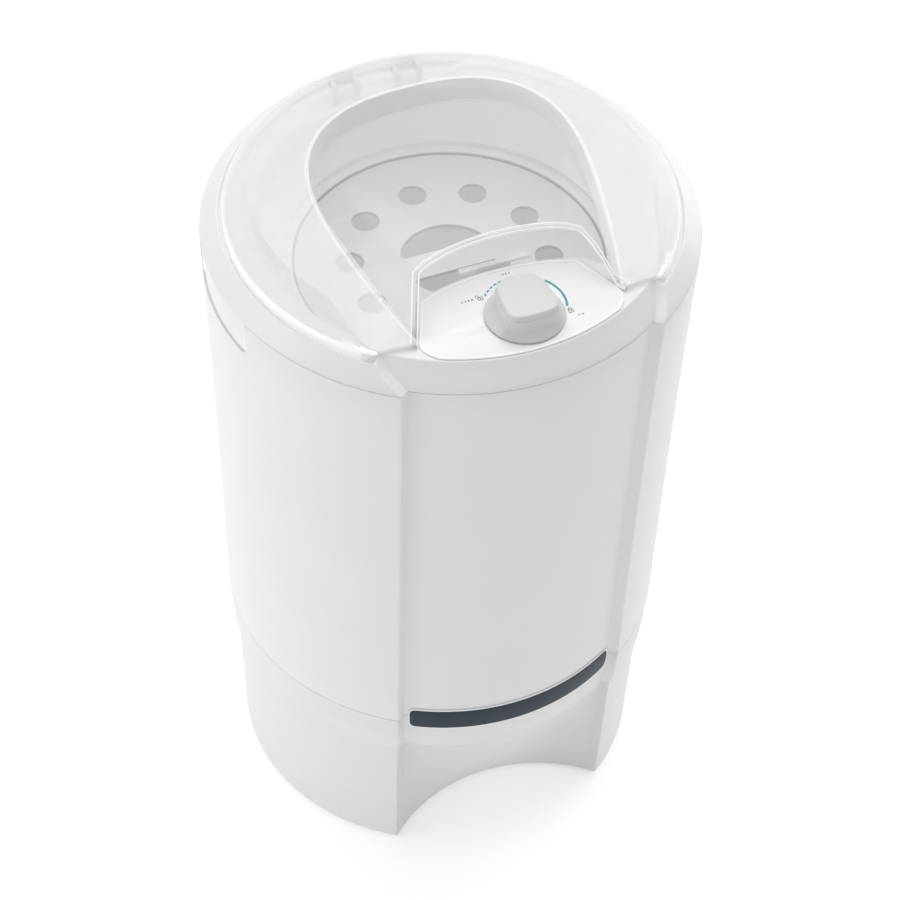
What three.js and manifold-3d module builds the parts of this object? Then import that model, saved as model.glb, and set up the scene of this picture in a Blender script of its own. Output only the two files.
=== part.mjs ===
// A round top-loading laundry spin dryer, as it comes apart on a bench.
// Millimetres, +Z up. +X is the user's right, -Y the front. The origin is the centre of the footprint,
// on the floor. Angles round the drum's axis are degrees from the front, positive towards +X.
import * as THREE from 'three';
import { mergeVertices } from 'three/addons/utils/BufferGeometryUtils.js';
import Module from 'manifold-3d';

const wasm = await Module();
wasm.setup();

// ---------------------------------------------------------------- driving dimensions

// Fits
const seat = 0.3;            // between two faces that touch
const runGap = 0.35;         // between a turning piece and the bore round it
const liftGap = 1.2;         // between pieces that pass each other in use
const beyond = 40;           // cutting blocks run this far past what they cut

// Casing: base, body wall and collar
const collarEdgeHeight = 698;
const collarFlare = 12.5;    // the body wall leans out by this much up to the collar
const collarRise = 17.5;     // from the collar's lower edge to the top of its lip
const collarWall = 2.8;
const seamHeight = 218;      // where the body wall stands on the base
const seamRadius = 221;
const wallBow = 1.2;         // how far the wall dips in half-way up
const casingWall = 2.8;
const bandHeight = 50;       // slanted band round the top of the base
const bandTaper = 3.5;
const skirtStep = 4;         // the skirt stands in from the band
const skirtTaper = 6.5;
const skirtClearance = 3;    // under the skirt
const baseWall = 3;
const deckOpening = 125;     // radius of the hole in the base's deck
const frontHalfAngle = 32.5; // the recessed front panel, each way
const frontRecess = 9;
const creaseBlend = 0.4;     // half the width of the panel's side step, degrees
const collarCreaseAngle = 40.5;
const consoleHalfAngle = 37.5;

// Scallop in the front of the base
const scallopRadius = 170;
const scallopInset = 93;     // from the seam's radius in to the scallop's foot
const scallopHalfAngle = 33.6;

// Collar groove, funnel and hinge pocket
const grooveInset = 18.8;    // from the collar's edge in to the groove
const grooveWidth = 28.7;
const grooveDepth = 6.5;     // below the top of the lip
const mouthInset = 3;        // the mouth is this much narrower than the basket
const mouthDepth = 60;       // below the top of the lip
const pocketDrop = 7;
const pocketHalfAngle = 25.5;

// Control console
const consoleRise = 4.5;     // above the top of the lip
const consoleLength = 139;   // from the collar's edge to the middle of the console's rear edge
const consoleRearSag = 14;   // how far its corners stand in front of that
const consoleRearHalf = 79;
const consoleDepth = 37;
const consoleWall = 2.6;
const labelThickness = 0.8;
const labelFrontInset = 30;  // from the collar's edge
const labelMargin = 3.5;     // from the label's rear edge to the console's
const labelFrontHalf = 97;
const labelFrontDepth = 43.5; // from the front of its arc to where its sides begin

// Knob
const knobX = 4;
const knobInset = 42.5;      // from the front of the label to the knob's axis
const knobFlareRadius = 37;
const knobFlareHeight = 9;
const knobGripWidth = 50;
const knobHeight = 26;
const knobShaftRadius = 4;
const switchSize = 40;
const switchHeight = 17;

// Lid
const lidClearance = 3.2;    // from the lid's rim to the groove's outer wall
const lidThickness = 2.4;
const skirtDrop = 13;        // the lid's rim hangs into the groove
const shoulderInset = 25.5;  // from the lid's rim
const shoulderRise = 22.4;   // above the top of the rim
const crestSideInset = 55;   // from the shoulder
const crestBackInset = 73;
const crestFrontGap = 2;     // from the label's side
const crestFrontReach = 4;   // in front of where the label's sides begin
const crestRise = 6.5;       // above the shoulder
const crestSlope = 0.165;
const crestWidth = 7;
const rearDrop = 22;
const frontDrop = 3;
const windowRise = 11.5;     // the crown stands this much above the middle of the crest
const windowPower = 7;       // how late the crown falls towards the crest
const tipAngle = 40.54;      // where the lid's front tips end
const tipInset = 2.27;
const wallThickness = 2.2;

// Lid hinge
const hingeInset = 14.5;     // from the lid's rim
const hingeRise = 3;         // above the top of the lip
const hingeX = 32;
const knuckleLength = 18;
const knuckleRadius = 5.5;
const earThickness = 4;
const earReach = 7.5;        // from the hinge pin to the ear's leg
const earLeg = 5;
const rearReliefHalf = 90;   // the lid's rim is shallower behind the hinge
const hingePinRadius = 2.5;

// Latch
const boltWidth = 18;
const boltThickness = 3;
const boltTravelOn = 12;
const boltTravelOpen = 9.6;
const camRadius = 13;
const camThickness = 4;
const strikeThickness = 2;
const strikeWidth = 68;
const strikeRise = 4.5;      // above the console's top
const strikeBridge = 3.5;    // depth of the bar that joins it to the notch wall
const strikeGap = 4;         // behind the console's rear wall

// Hand grips
const gripHalfAngle = 15;
const gripHeight = 41;
const gripDepth = 19;
const gripWall = 2.4;

// Front strip
const stripHalfAngle = 30.3;
const stripRise = 11;        // above the seam
const stripDrop = 16;        // below the seam
const stripThickness = 1.3;
const bezelWidth = 1.7;

// Tub, basket and disc
const tubClearance = 22.5;   // to the casing, at the seam
const tubWall = 2.5;
const tubHole = 28;
const basketClearance = 38.5; // to the tub
const basketWall = 1.8;
const basketLift = 18;       // of the basket's floor above the base's deck
const basketDrop = 15.5;     // from the mouth down to the top of the basket's wall
const basketHoleRadius = 3.5;
const basketRows = 3;
const basketColumns = 9;
const rimHeight = 10;
const rimOverlap = 12;
const rimFlange = 8;
const rimInset = 17;         // from the basket's wall in to the rim's inner edge
const discOverlap = 3.2;     // of the disc on the rim's ledge
const discThickness = 4;
const discHoleRing = 94;
const discHoleRadius = 13.5;
const discHoleCount = 10;
const discGripRadius = 47;
const discBarHalf = 15;

// Hub, shaft and motor
const shaftRadius = 8;
const shaftRise = 18;        // above the hub
const hubRadius = 30;
const hubFlange = 44;
const hubRise = 60;          // above the basket's floor
const nutWidth = 26;
const motorRadius = 78;
const motorWall = 4;
const motorPlateRadius = 138;
const motorPlateThickness = 3;
const capHeight = 46;
const bearingRadius = 16;
const bearingHeight = 11.4;
const statorThickness = 13;
const airGap = 3;            // between the rotor and the stator
const rotorHeight = 34;
const drumRadius = 50;
const drumHeight = 13;
const drumLift = 2.5;        // above the motor's nose
const drumClearance = 2.3;   // below the base's deck
const brakeGap = 2.5;
const leverX = -66;
const leverPivotY = -32;
const leverEndY = 45;
const leverThickness = 5;
const leverHalfWidth = 4;
const leverEyeRadius = 9;
const pivotRadius = 4;
const springWire = 1;

// Suspension, base plate and feet
const basePlateHeight = 16;
const basePlateThickness = 3;
const mountRing = 118;
const mountRadius = 19;
const mountHeight = 43;
const footInset = 39;        // from the seam's radius to the feet
const footRadius = 16;
const footStem = 4;
const footFrontAngle = 47;
const footRearAngle = 135;

// Service pieces
const capacitorRadius = 20;
const capacitorHeight = 72;
const capacitorInset = 56;   // from the seam's radius
const capacitorY = 15;
const glandAngle = 180;
const glandHeight = 135;
const glandRadius = 9;
const drainRadius = 9;
const drainWall = 2.5;
const drainAngle = 180;
const drainInset = 38.5;     // from the tub's wall
const drainOutletHeight = 60;
const hoseNeck = 20;         // straight below the spigot
const hoseDrop = 100;        // from the spigot to the bend
const cableRadius = 2.5;
const cableAngle = -36;
const leadAngle = 36;
const leadInset = 26.5;      // from the tub to where the leads leave the console
const leadBend = 60;         // length of a lead's bends
const leadDrop = 250;        // from the console down to where a lead hangs straight
const leadReach = 50;        // how far the motor's lead swings out
const cableSweep = 66;       // how far the brake's cable swings out beside the lever
const tubScrewInset = 48.5;  // from the tub's wall
const tubScrewRadius = 2.2;

// ---------------------------------------------------------------- sizes worked out from them

const radians = Math.PI / 180;
const axisY = -frontRecess / 2; // the drum's axis stands this far in front of the footprint's centre
const collarEdgeRadius = seamRadius + collarFlare;
const scallopDepth = seamRadius - scallopInset;
const grooveOuter = collarEdgeRadius - grooveInset;
const grooveInner = grooveOuter - grooveWidth;
const tubRadius = seamRadius - tubClearance;
const basketRadius = tubRadius - basketClearance;
const mouthRadius = basketRadius - mouthInset;
const rimRadius = basketRadius + rimFlange;
const rimInner = basketRadius - rimInset;
const discRadius = rimInner + discOverlap;
const footRing = seamRadius - footInset;
const capacitorX = seamRadius - capacitorInset;
const drainRing = tubRadius - drainInset;
const tubScrewRing = tubRadius - tubScrewInset;
const consoleRearMid = collarEdgeRadius - consoleLength;
const labelFrontRadius = collarEdgeRadius - labelFrontInset;
const labelFrontY = labelFrontRadius - labelFrontDepth;
const knobY = knobInset - labelFrontRadius;
const lidRadius = grooveOuter - lidClearance;
const shoulderRadius = lidRadius - shoulderInset;
const crestHalfWidth = shoulderRadius - crestSideInset;
const crestBack = shoulderRadius - crestBackInset;
const crestFrontHalf = labelFrontHalf + crestFrontGap;
const crestFrontY = labelFrontY + crestFrontReach;
const tipX = (lidRadius - tipInset) * Math.sin(tipAngle * radians);
const tipY = (lidRadius - tipInset) * Math.cos(tipAngle * radians);
const hingeY = lidRadius - hingeInset;
const stripTop = seamHeight + stripRise;
const stripBottom = seamHeight - stripDrop;
const basketFloor = seamHeight + basketLift;
const hubTop = basketFloor + hubRise;
const shaftTop = hubTop + shaftRise;
const rotorRadius = motorRadius - motorWall - statorThickness - airGap;
const bandFoot = seamHeight - bandHeight;
const bandFootRadius = seamRadius - bandTaper;
const skirtHeadRadius = bandFootRadius - skirtStep;
const skirtFootRadius = skirtHeadRadius - skirtTaper;
const lipHeight = collarEdgeHeight + collarRise;
const grooveFloor = lipHeight - grooveDepth;
const mouthHeight = lipHeight - mouthDepth;
const consoleHeight = lipHeight + consoleRise;
const hingeZ = lipHeight + hingeRise;
const lidFoot = grooveFloor + seat * 2;
const lidRimTop = lidFoot + skirtDrop;
const shoulderHeight = lidRimTop + shoulderRise;
const crestMidHeight = shoulderHeight + crestRise;
const windowHeight = crestMidHeight + windowRise;
const labelTop = consoleHeight + seat + labelThickness;
const knobFoot = labelTop + liftGap;
const consoleFoot = consoleHeight - consoleDepth;
const switchTop = consoleHeight - consoleWall - seat;
const switchFoot = switchTop - switchHeight;
const boltTop = switchFoot - 2 * seat;
const boltFoot = boltTop - boltThickness;
const camTop = boltFoot - 2 * seat;
const shaftFloor = basePlateHeight + basePlateThickness + seat + mountHeight + seat + motorPlateThickness + seat;
const drumTop = seamHeight - baseWall - drumClearance;
const drumFoot = drumTop - drumHeight;
const noseTop = drumFoot - drumLift;
const motorTop = noseTop - capHeight - seat;
const basketTop = mouthHeight - basketDrop;
const basketHeight = basketTop - basketFloor;
const rimFoot = basketTop + seat;
const rimTop = rimFoot + rimHeight;
const discFoot = rimFoot + rimHeight - discThickness - 2;

// ---------------------------------------------------------------- mesh helpers

// Merges shared vertices, drops flat triangles and turns the faces outwards.
function closedBody(positions, triangles) {
  const raw = new THREE.BufferGeometry();
  raw.setAttribute('position', new THREE.Float32BufferAttribute(positions, 3));
  raw.setIndex(triangles);
  return tidied(raw);
}

function tidied(geometry) {
  geometry.deleteAttribute('normal');
  geometry.deleteAttribute('uv');
  const merged = mergeVertices(geometry, 1e-3);
  const place = merged.getAttribute('position');
  const corner = (i) => new THREE.Vector3().fromBufferAttribute(place, i);
  const kept = [];
  let volume = 0;
  for (let i = 0; i < merged.index.count; i += 3) {
    const [a, b, c] = [merged.index.getX(i), merged.index.getX(i + 1), merged.index.getX(i + 2)];
    if (a === b || b === c || c === a) continue;
    kept.push([a, b, c]);
    volume += corner(a).dot(corner(b).cross(corner(c)));
  }
  const outward = volume < 0 ? kept.map(([a, b, c]) => [a, c, b]) : kept;
  merged.setIndex(outward.flat());
  return merged;
}

function toSolid(geometry) {
  const clean = tidied(geometry);
  const vertProperties = new Float32Array(clean.getAttribute('position').array);
  const triVerts = new Uint32Array(clean.index.array);
  return new wasm.Manifold(new wasm.Mesh({ numProp: 3, vertProperties, triVerts }));
}

function fromSolid(solid) {
  const mesh = solid.getMesh();
  return closedBody(Array.from(mesh.vertProperties), Array.from(mesh.triVerts));
}

function cut(geometry, ...tools) {
  const all = wasm.Manifold.union(tools.map(toSolid));
  return fromSolid(toSolid(geometry).subtract(all));
}

function join(...geometries) {
  return fromSolid(wasm.Manifold.union(geometries.map(toSolid)));
}

function common(a, b) {
  return fromSolid(toSolid(a).intersect(toSolid(b)));
}

// A point at an angle from the front, a radius and a height.
function polar(angle, radius, z) {
  return [radius * Math.sin(angle * radians), -radius * Math.cos(angle * radians), z];
}

// A skin over closed sections. Round the axis it closes on itself, otherwise its ends are capped.
function loft(sections, closed = true) {
  const count = sections[0].length;
  const positions = sections.flat(2);
  const triangles = [];
  const spans = closed ? sections.length : sections.length - 1;
  for (let s = 0; s < spans; s += 1) {
    const here = s * count;
    const next = ((s + 1) % sections.length) * count;
    for (let i = 0; i < count; i += 1) {
      const j = (i + 1) % count;
      triangles.push(here + i, here + j, next + j, here + i, next + j, next + i);
    }
  }
  if (!closed) {
    const last = (sections.length - 1) * count;
    for (let i = 1; i < count - 1; i += 1) {
      triangles.push(0, i + 1, i, last, last + i, last + i + 1);
    }
  }
  return closedBody(positions, triangles);
}

// A solid of revolution about the drum's axis, from a closed outline of [radius, height].
function revolve(outline, segments = 36) {
  const points = [...outline, outline[0]].map(([r, z]) => new THREE.Vector2(r, z));
  const geometry = new THREE.LatheGeometry(points, segments);
  geometry.rotateX(Math.PI / 2);
  return geometry;
}

function rod(radius, foot, top, x = 0, y = 0, segments = 20) {
  const geometry = new THREE.CylinderGeometry(radius, radius, top - foot, segments);
  geometry.rotateX(Math.PI / 2);
  geometry.translate(x, y, (foot + top) / 2);
  return geometry;
}

function rodAlongX(radius, from, to, y, z, segments = 16) {
  const geometry = new THREE.CylinderGeometry(radius, radius, to - from, segments);
  geometry.rotateZ(Math.PI / 2);
  geometry.translate((from + to) / 2, y, z);
  return geometry;
}

// A rod that points away from the axis.
function spoke(radius, from, to, angle, z, segments = 12) {
  const geometry = new THREE.CylinderGeometry(radius, radius, to - from, segments);
  geometry.translate(0, -(from + to) / 2, 0);
  geometry.rotateZ(angle * radians);
  geometry.translate(0, 0, z);
  return geometry;
}

function block(x0, x1, y0, y1, z0, z1) {
  const geometry = new THREE.BoxGeometry(x1 - x0, y1 - y0, z1 - z0);
  geometry.translate((x0 + x1) / 2, (y0 + y1) / 2, (z0 + z1) / 2);
  return geometry;
}

function slab(shape, foot, top, curveSegments = 10) {
  const geometry = new THREE.ExtrudeGeometry(shape, { depth: top - foot, bevelEnabled: false, curveSegments });
  geometry.translate(0, 0, foot);
  return geometry;
}

function circleShape(radius, sides) {
  const points = [];
  for (let i = 0; i < sides; i += 1) {
    const turn = (i / sides) * 2 * Math.PI;
    points.push(new THREE.Vector2(radius * Math.cos(turn), radius * Math.sin(turn)));
  }
  return points;
}

// A round tube or wire along a smooth curve; a bore makes it hollow.
function tube(points, radius, steps, { bore = 0, sides = 8 } = {}) {
  const shape = new THREE.Shape(circleShape(radius, sides));
  if (bore > 0) shape.holes.push(new THREE.Path(circleShape(bore, sides).reverse()));
  const path = new THREE.CatmullRomCurve3(points.map((p) => new THREE.Vector3(...p)), false, 'centripetal');
  return new THREE.ExtrudeGeometry(shape, { steps, bevelEnabled: false, extrudePath: path });
}

const blend = (a, b, t) => a + (b - a) * t;
const clamp01 = (t) => Math.min(1, Math.max(0, t));
const smooth = (t) => clamp01(t) ** 2 * (3 - 2 * clamp01(t));

// ---------------------------------------------------------------- casing sections

// The columns that every casing shell is built on: close together over the front panel's side steps.
function casingColumns() {
  const front = [0.2, 0.4, 0.6, 0.8, 0.91].map((share) => share * frontHalfAngle);
  const step = [frontHalfAngle - creaseBlend, frontHalfAngle + creaseBlend];
  const sideCount = 13;
  const sides = [];
  for (let k = 1; k < sideCount; k += 1) {
    sides.push(blend(frontHalfAngle + creaseBlend, 180, k / sideCount));
  }
  const half = [...front, ...step, ...sides];
  return [...half.map((a) => -a).reverse(), 0, ...half, 180];
}

// Moves the panel's edge from its usual angle to another one, and the rest in proportion.
function slide(column, edge) {
  const size = Math.abs(column);
  if (size <= frontHalfAngle) return (column * edge) / frontHalfAngle;
  const share = (size - frontHalfAngle) / (180 - frontHalfAngle);
  return Math.sign(column) * blend(edge, 180, share);
}

const inFront = (column) => Math.abs(column) < frontHalfAngle;

// Radius of the body wall's outside at a height, away from the front panel.
function wallRadius(z) {
  const share = (z - seamHeight) / (collarEdgeHeight - seamHeight);
  return blend(seamRadius, collarEdgeRadius, share) - wallBow * 4 * share * (1 - share);
}

function bandRadius(z) {
  return blend(bandFootRadius, seamRadius, (z - bandFoot) / bandHeight);
}

function skirtRadius(z) {
  return blend(skirtFootRadius, skirtHeadRadius, (z - skirtClearance) / (bandFoot - skirtClearance));
}

// Radius of the scallop's wall: hollow at the floor, full at the foot of the band.
function scallopWall(angle, z) {
  const centre = scallopDepth + scallopRadius;
  const along = centre * Math.cos(angle * radians);
  const reach = Math.max(0, along ** 2 - centre ** 2 + scallopRadius ** 2);
  const foot = Math.min(along - Math.sqrt(reach), skirtFootRadius);
  return blend(foot, bandFootRadius - frontRecess, (z - skirtClearance) / (bandFoot - skirtClearance));
}

function outerShell() {
  const foot = seamHeight + seat;
  const top = collarEdgeHeight - seat;
  const heights = [0, 0.25, 0.5, 0.75, 1].map((share) => blend(foot, top, share));
  const sections = casingColumns().map((column) => {
    const inset = inFront(column) ? frontRecess : 0;
    const outside = heights.map((z) => polar(column, wallRadius(z) - inset, z));
    const inside = heights.map((z) => polar(column, wallRadius(z) - inset - casingWall, z));
    return [...outside, ...inside.reverse()];
  });
  const wall = loft(sections);
  return cut(wall, gripWindow(90), gripWindow(-90));
}

// What is taken out of the body wall for a hand grip.
function gripWindow(angle) {
  const sections = [];
  for (let k = -6; k <= 6; k += 1) {
    const at = angle + (gripHalfAngle * k) / 6;
    const foot = collarEdgeHeight - gripHeight;
    const tall = collarEdgeHeight + 5;
    const ring = [[-20, foot], [20, foot], [20, tall], [-20, tall]];
    sections.push(ring.map(([out, z]) => polar(at, collarEdgeRadius + out, z)));
  }
  return loft(sections, false);
}

// A finger scoop: a slanting plate with a cheek at each end, under the collar's edge.
function gripCup(angle) {
  const foot = collarEdgeHeight - gripHeight + seat;
  const top = collarEdgeHeight - seat;
  const edge = gripHalfAngle - seat / 4;
  const cheek = 1;
  const steps = [-edge, -edge + cheek, -edge + cheek + 0.3, -5, 0, 5, edge - cheek - 0.3, edge - cheek, edge];
  const sections = steps.map((step) => {
    const solidEnd = Math.abs(step) >= edge - cheek;
    const flush = wallRadius(foot) - seat;
    const depth = solidEnd ? 0 : gripDepth;
    const outline = [
      [flush, foot],
      [wallRadius(top) - seat - depth, top],
      [wallRadius(top) - seat - gripDepth - gripWall, top],
      [flush - gripWall, foot],
    ];
    return outline.map(([r, z]) => polar(angle + step, r, z));
  });
  return loft(sections, false);
}

function baseShell() {
  const heights = [0, 0.5, 1].map((share) => blend(skirtClearance, bandFoot - 2, share));
  const deckTop = seamHeight;
  const deckFoot = deckTop - baseWall;
  const sections = casingColumns().map((column) => {
    const front = inFront(column);
    const inset = front ? frontRecess : 0;
    const outline = [];
    for (const z of heights) {
      const share = (z - skirtClearance) / (bandFoot - skirtClearance);
      const angle = slide(column, blend(scallopHalfAngle, frontHalfAngle, share));
      outline.push([angle, front ? scallopWall(angle, z) : skirtRadius(z), z]);
    }
    outline.push([column, bandFootRadius - inset, bandFoot]);
    outline.push([column, seamRadius - inset, seamHeight]);
    outline.push([column, deckOpening, deckTop]);
    outline.push([column, deckOpening, deckFoot]);
    outline.push([column, bandRadius(deckFoot) - inset - baseWall, deckFoot]);
    outline.push([column, bandFootRadius - inset - baseWall, bandFoot]);
    const inner = heights.map((z, i) => [outline[i][0], outline[i][1] - baseWall, z]);
    return [...outline, ...inner.reverse()].map(([angle, r, z]) => polar(angle, r, z));
  });
  const shell = loft(sections);
  const [cableX, cableY] = polar(cableAngle, tubRadius + seat + cableRadius, 0);
  const [leadX, leadY] = polar(leadAngle, tubRadius + seat + cableRadius, 0);
  const holes = [
    rod(cableRadius + 3, deckFoot - 5, deckTop + 5, cableX, cableY),
    rod(cableRadius + 3, deckFoot - 5, deckTop + 5, leadX, leadY),
    spoke(glandRadius - 2, skirtFootRadius - 30, skirtFootRadius + 30, glandAngle, glandHeight, 20),
    spoke(drainRadius + 2 * seat, skirtFootRadius - 30, skirtFootRadius + 30, drainAngle, drainOutletHeight, 20),
    rod(drainRadius + 3, deckFoot - 5, deckTop + 5, ...drainPlace()),
    ...tubScrewPlaces().map(([x, y]) => rod(tubScrewRadius + seat, deckFoot - 5, deckTop + 5, x, y, 10)),
  ];
  return cut(shell, ...holes);
}

// ---------------------------------------------------------------- collar and console

// Radius of the console's rear edge at an angle.
function consoleRear(angle) {
  const bend = (consoleRearSag * Math.sin(angle * radians) ** 2) / consoleRearHalf ** 2;
  const facing = Math.cos(angle * radians);
  if (bend < 1e-9) return consoleRearMid / facing;
  return (facing - Math.sqrt(facing ** 2 - 4 * bend * consoleRearMid)) / (2 * bend);
}

// The collar's outline, clockwise from its lower edge: [side radius, side height, console radius,
// console height, angle of the panel's edge]. The side goes over the lip, the groove and the funnel; the
// console goes over its deck and down its rear wall.
function collarOutline(rear, pocket) {
  const edge = collarEdgeRadius;
  const floor = grooveFloor - pocket;
  const funnelTop = grooveInner - 5;
  const wall = collarWall;
  const crease = (share) => blend(frontHalfAngle, collarCreaseAngle, share);
  const foot = collarEdgeHeight;
  const deck = consoleHeight;
  const front = edge - frontRecess;
  const underDeck = deck - consoleWall;
  return [
    [edge, foot, front, foot, crease(0)],
    [edge - 1.2, foot + 2.5, front - 1.2, foot + 2.5, crease(0.14)],
    [edge - 6, foot + 7.5, front - 6, foot + 7.5, crease(0.43)],
    [edge - 12, foot + 13, front - 12, foot + 13.5, crease(0.75)],
    [edge - 17, lipHeight, front - 17.5, deck - 2.5, crease(0.95)],
    [grooveOuter + 0.8, lipHeight - 1.1, front - 19.5, deck, crease(1)],
    [grooveOuter, floor, front - 22, deck, crease(1)],
    [grooveInner, floor, rear + 0.8, deck, consoleHalfAngle],
    [funnelTop, grooveFloor - 5, rear, deck - 0.8, consoleHalfAngle],
    [blend(funnelTop, mouthRadius, 0.41), blend(grooveFloor - 5, mouthHeight, 0.4), rear, deck - 14,
      consoleHalfAngle],
    [blend(funnelTop, mouthRadius, 0.85), blend(grooveFloor - 5, mouthHeight, 0.87), rear, deck - 25,
      consoleHalfAngle],
    [mouthRadius, mouthHeight, rear, consoleFoot, consoleHalfAngle],
    [mouthRadius + 1.7, mouthHeight - 2, rear + consoleWall, consoleFoot, consoleHalfAngle],
    [blend(funnelTop, mouthRadius, 0.85) + 2.1, blend(grooveFloor - 5, mouthHeight, 0.87) - 1.6,
      rear + consoleWall, deck - 25, consoleHalfAngle],
    [blend(funnelTop, mouthRadius, 0.41) + 2.2, blend(grooveFloor - 5, mouthHeight, 0.4) - 1.7,
      rear + consoleWall, deck - 14, consoleHalfAngle],
    [funnelTop + 1.5, grooveFloor - 7.8, rear + consoleWall, underDeck - 0.6, consoleHalfAngle],
    [grooveInner + 1, floor - wall, rear + consoleWall + 0.6, underDeck, consoleHalfAngle],
    [grooveOuter + 2.4, floor - wall, front - 24, underDeck, crease(1)],
    [grooveOuter + 3, lipHeight - 3.6, front - 21, underDeck - 0.2, crease(1)],
    [edge - 13.9, foot + 10.9, front - 13.9, foot + 11.4, crease(0.75)],
    [edge - 8, foot + 5.5, front - 8, foot + 5.5, crease(0.43)],
    [edge - 3.9, foot + 1.5, front - 3.9, foot + 1.5, crease(0.14)],
    [edge - wall, foot, front - wall, foot, crease(0)],
  ];
}

function hingePlaces() {
  return [-hingeX, hingeX];
}

// One hinge ear: an arm from the pin towards the mouth, on a leg that stands in the pocket. The lid's rim
// passes under the arm as the lid opens.
function ear(x) {
  const foot = grooveFloor - pocketDrop - collarWall / 2;
  const legBack = hingeY - earReach;
  const top = hingeZ + knuckleRadius;
  const leg = block(x, x + earThickness, legBack - earLeg, legBack, foot, top);
  const arm = block(x, x + earThickness, legBack - 1, hingeY, hingeZ - knuckleRadius, top);
  const head = rodAlongX(knuckleRadius, x, x + earThickness, hingeY, hingeZ);
  return join(leg, arm, head);
}

function topCollar() {
  const sections = casingColumns().map((column) => {
    const front = inFront(column);
    const pocket = 180 - Math.abs(column) < pocketHalfAngle ? pocketDrop : 0;
    return collarOutline(0, pocket).map((row, i) => {
      const angle = slide(column, row[4]);
      const turned = collarOutline(front ? consoleRear(angle) : 0, pocket)[i];
      return front ? polar(angle, turned[2], turned[3]) : polar(angle, turned[0], turned[1]);
    });
  });
  const gapHalf = knuckleLength / 2 + seat;
  const ears = hingePlaces().flatMap((x) => [ear(x - gapHalf - earThickness), ear(x + gapHalf)]);
  const body = join(loft(sections), ...ears);
  const slotGap = 1;
  const tools = [
    rod(knobShaftRadius + 2, consoleHeight - 10, consoleHeight + 10, knobX, knobY),
    block(knobX - boltWidth / 2 - slotGap, knobX + boltWidth / 2 + slotGap, -consoleRearMid - 9,
      -consoleRearMid + 5, boltFoot - slotGap, boltTop + slotGap),
    ...hingePlaces().map(hingeBore),
  ];
  return cut(body, ...tools);
}

// The tray that closes the console from below.
function consoleFloor() {
  const edge = consoleHalfAngle - 2;
  const top = consoleFoot - seat;
  const foot = top - consoleWall;
  const sections = [];
  for (let k = -8; k <= 8; k += 1) {
    const angle = (edge * k) / 8;
    const inner = consoleRear(angle);
    const outer = tubRadius - tubWall - 1;
    const outline = [[inner, foot], [outer, foot], [outer, top], [inner, top]];
    sections.push(outline.map(([r, z]) => polar(angle, r, z)));
  }
  return loft(sections, false);
}

// The label's outline, grown by an offset; the lid's notch follows it too.
function labelRear(offset) {
  return {
    midY: -(consoleRearMid + labelMargin) + offset,
    cornerX: consoleRearHalf - 3 + offset,
    cornerY: -(consoleRearMid + labelMargin + consoleRearSag) + offset,
  };
}

function labelShape() {
  const { midY, cornerX, cornerY } = labelRear(0);
  const bend = 25.5;
  const [arcX, arcY] = polar(bend, labelFrontRadius, 0);
  const shape = new THREE.Shape();
  shape.moveTo(-cornerX, cornerY);
  shape.quadraticCurveTo(0, 2 * midY - cornerY, cornerX, cornerY);
  shape.lineTo(labelFrontHalf, -labelFrontY);
  shape.quadraticCurveTo(labelFrontHalf + 4, -labelFrontY - 11, arcX, arcY);
  shape.absarc(0, 0, labelFrontRadius, (-90 + bend) * radians, (-90 - bend) * radians, true);
  shape.quadraticCurveTo(-labelFrontHalf - 4, -labelFrontY - 11, -labelFrontHalf, -labelFrontY);
  shape.closePath();
  return shape;
}

function consoleLabel() {
  const plate = slab(labelShape(), consoleHeight + seat, labelTop, 12);
  return cut(plate, rod(knobShaftRadius + 2, consoleHeight - 5, labelTop + 5, knobX, knobY));
}

// ---------------------------------------------------------------- knob, switch and latch

function roundedSquare(width, corner) {
  const half = width / 2;
  const shape = new THREE.Shape();
  shape.moveTo(-half + corner, -half);
  shape.lineTo(half - corner, -half);
  shape.absarc(half - corner, -half + corner, corner, -Math.PI / 2, 0, false);
  shape.lineTo(half, half - corner);
  shape.absarc(half - corner, half - corner, corner, 0, Math.PI / 2, false);
  shape.lineTo(-half + corner, half);
  shape.absarc(-half + corner, half - corner, corner, Math.PI / 2, Math.PI, false);
  shape.lineTo(-half, -half + corner);
  shape.absarc(-half + corner, -half + corner, corner, Math.PI, 1.5 * Math.PI, false);
  return shape;
}

function knob() {
  const flareTop = knobFoot + knobFlareHeight;
  const flare = revolve([
    [0.01, knobFoot],
    [knobFlareRadius, knobFoot],
    [knobFlareRadius - 1, knobFoot + 2],
    [knobFlareRadius - 6, flareTop - 1],
    [knobFlareRadius - 9, flareTop],
    [0.01, flareTop],
  ], 36);
  const plug = rod(2, knobFoot, flareTop, 0, 0, 8);
  const grip = slab(roundedSquare(knobGripWidth, 13), flareTop - 2, knobFoot + knobHeight, 5);
  const whole = join(flare, plug, grip);
  const bore = rod(knobShaftRadius + seat, knobFoot - 5, knobFoot + knobHeight - 4);
  const turned = cut(whole, bore);
  turned.translate(knobX, knobY, 0);
  return turned;
}

function knobShaft() {
  return rod(knobShaftRadius, camTop - camThickness - 1, knobFoot + knobHeight - 5, knobX, knobY);
}

function rotarySwitch() {
  const half = switchSize / 2;
  const box = block(knobX - half, knobX + half, knobY - half, knobY + half, switchFoot, switchTop);
  return cut(box, rod(knobShaftRadius + seat, switchFoot - 5, switchTop + 5, knobX, knobY));
}

function latchCam() {
  const disc = rod(camRadius, camTop - camThickness, camTop, knobX, knobY, 28);
  return cut(disc, rod(knobShaftRadius + seat, camTop - 20, camTop + 5, knobX, knobY));
}

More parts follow.
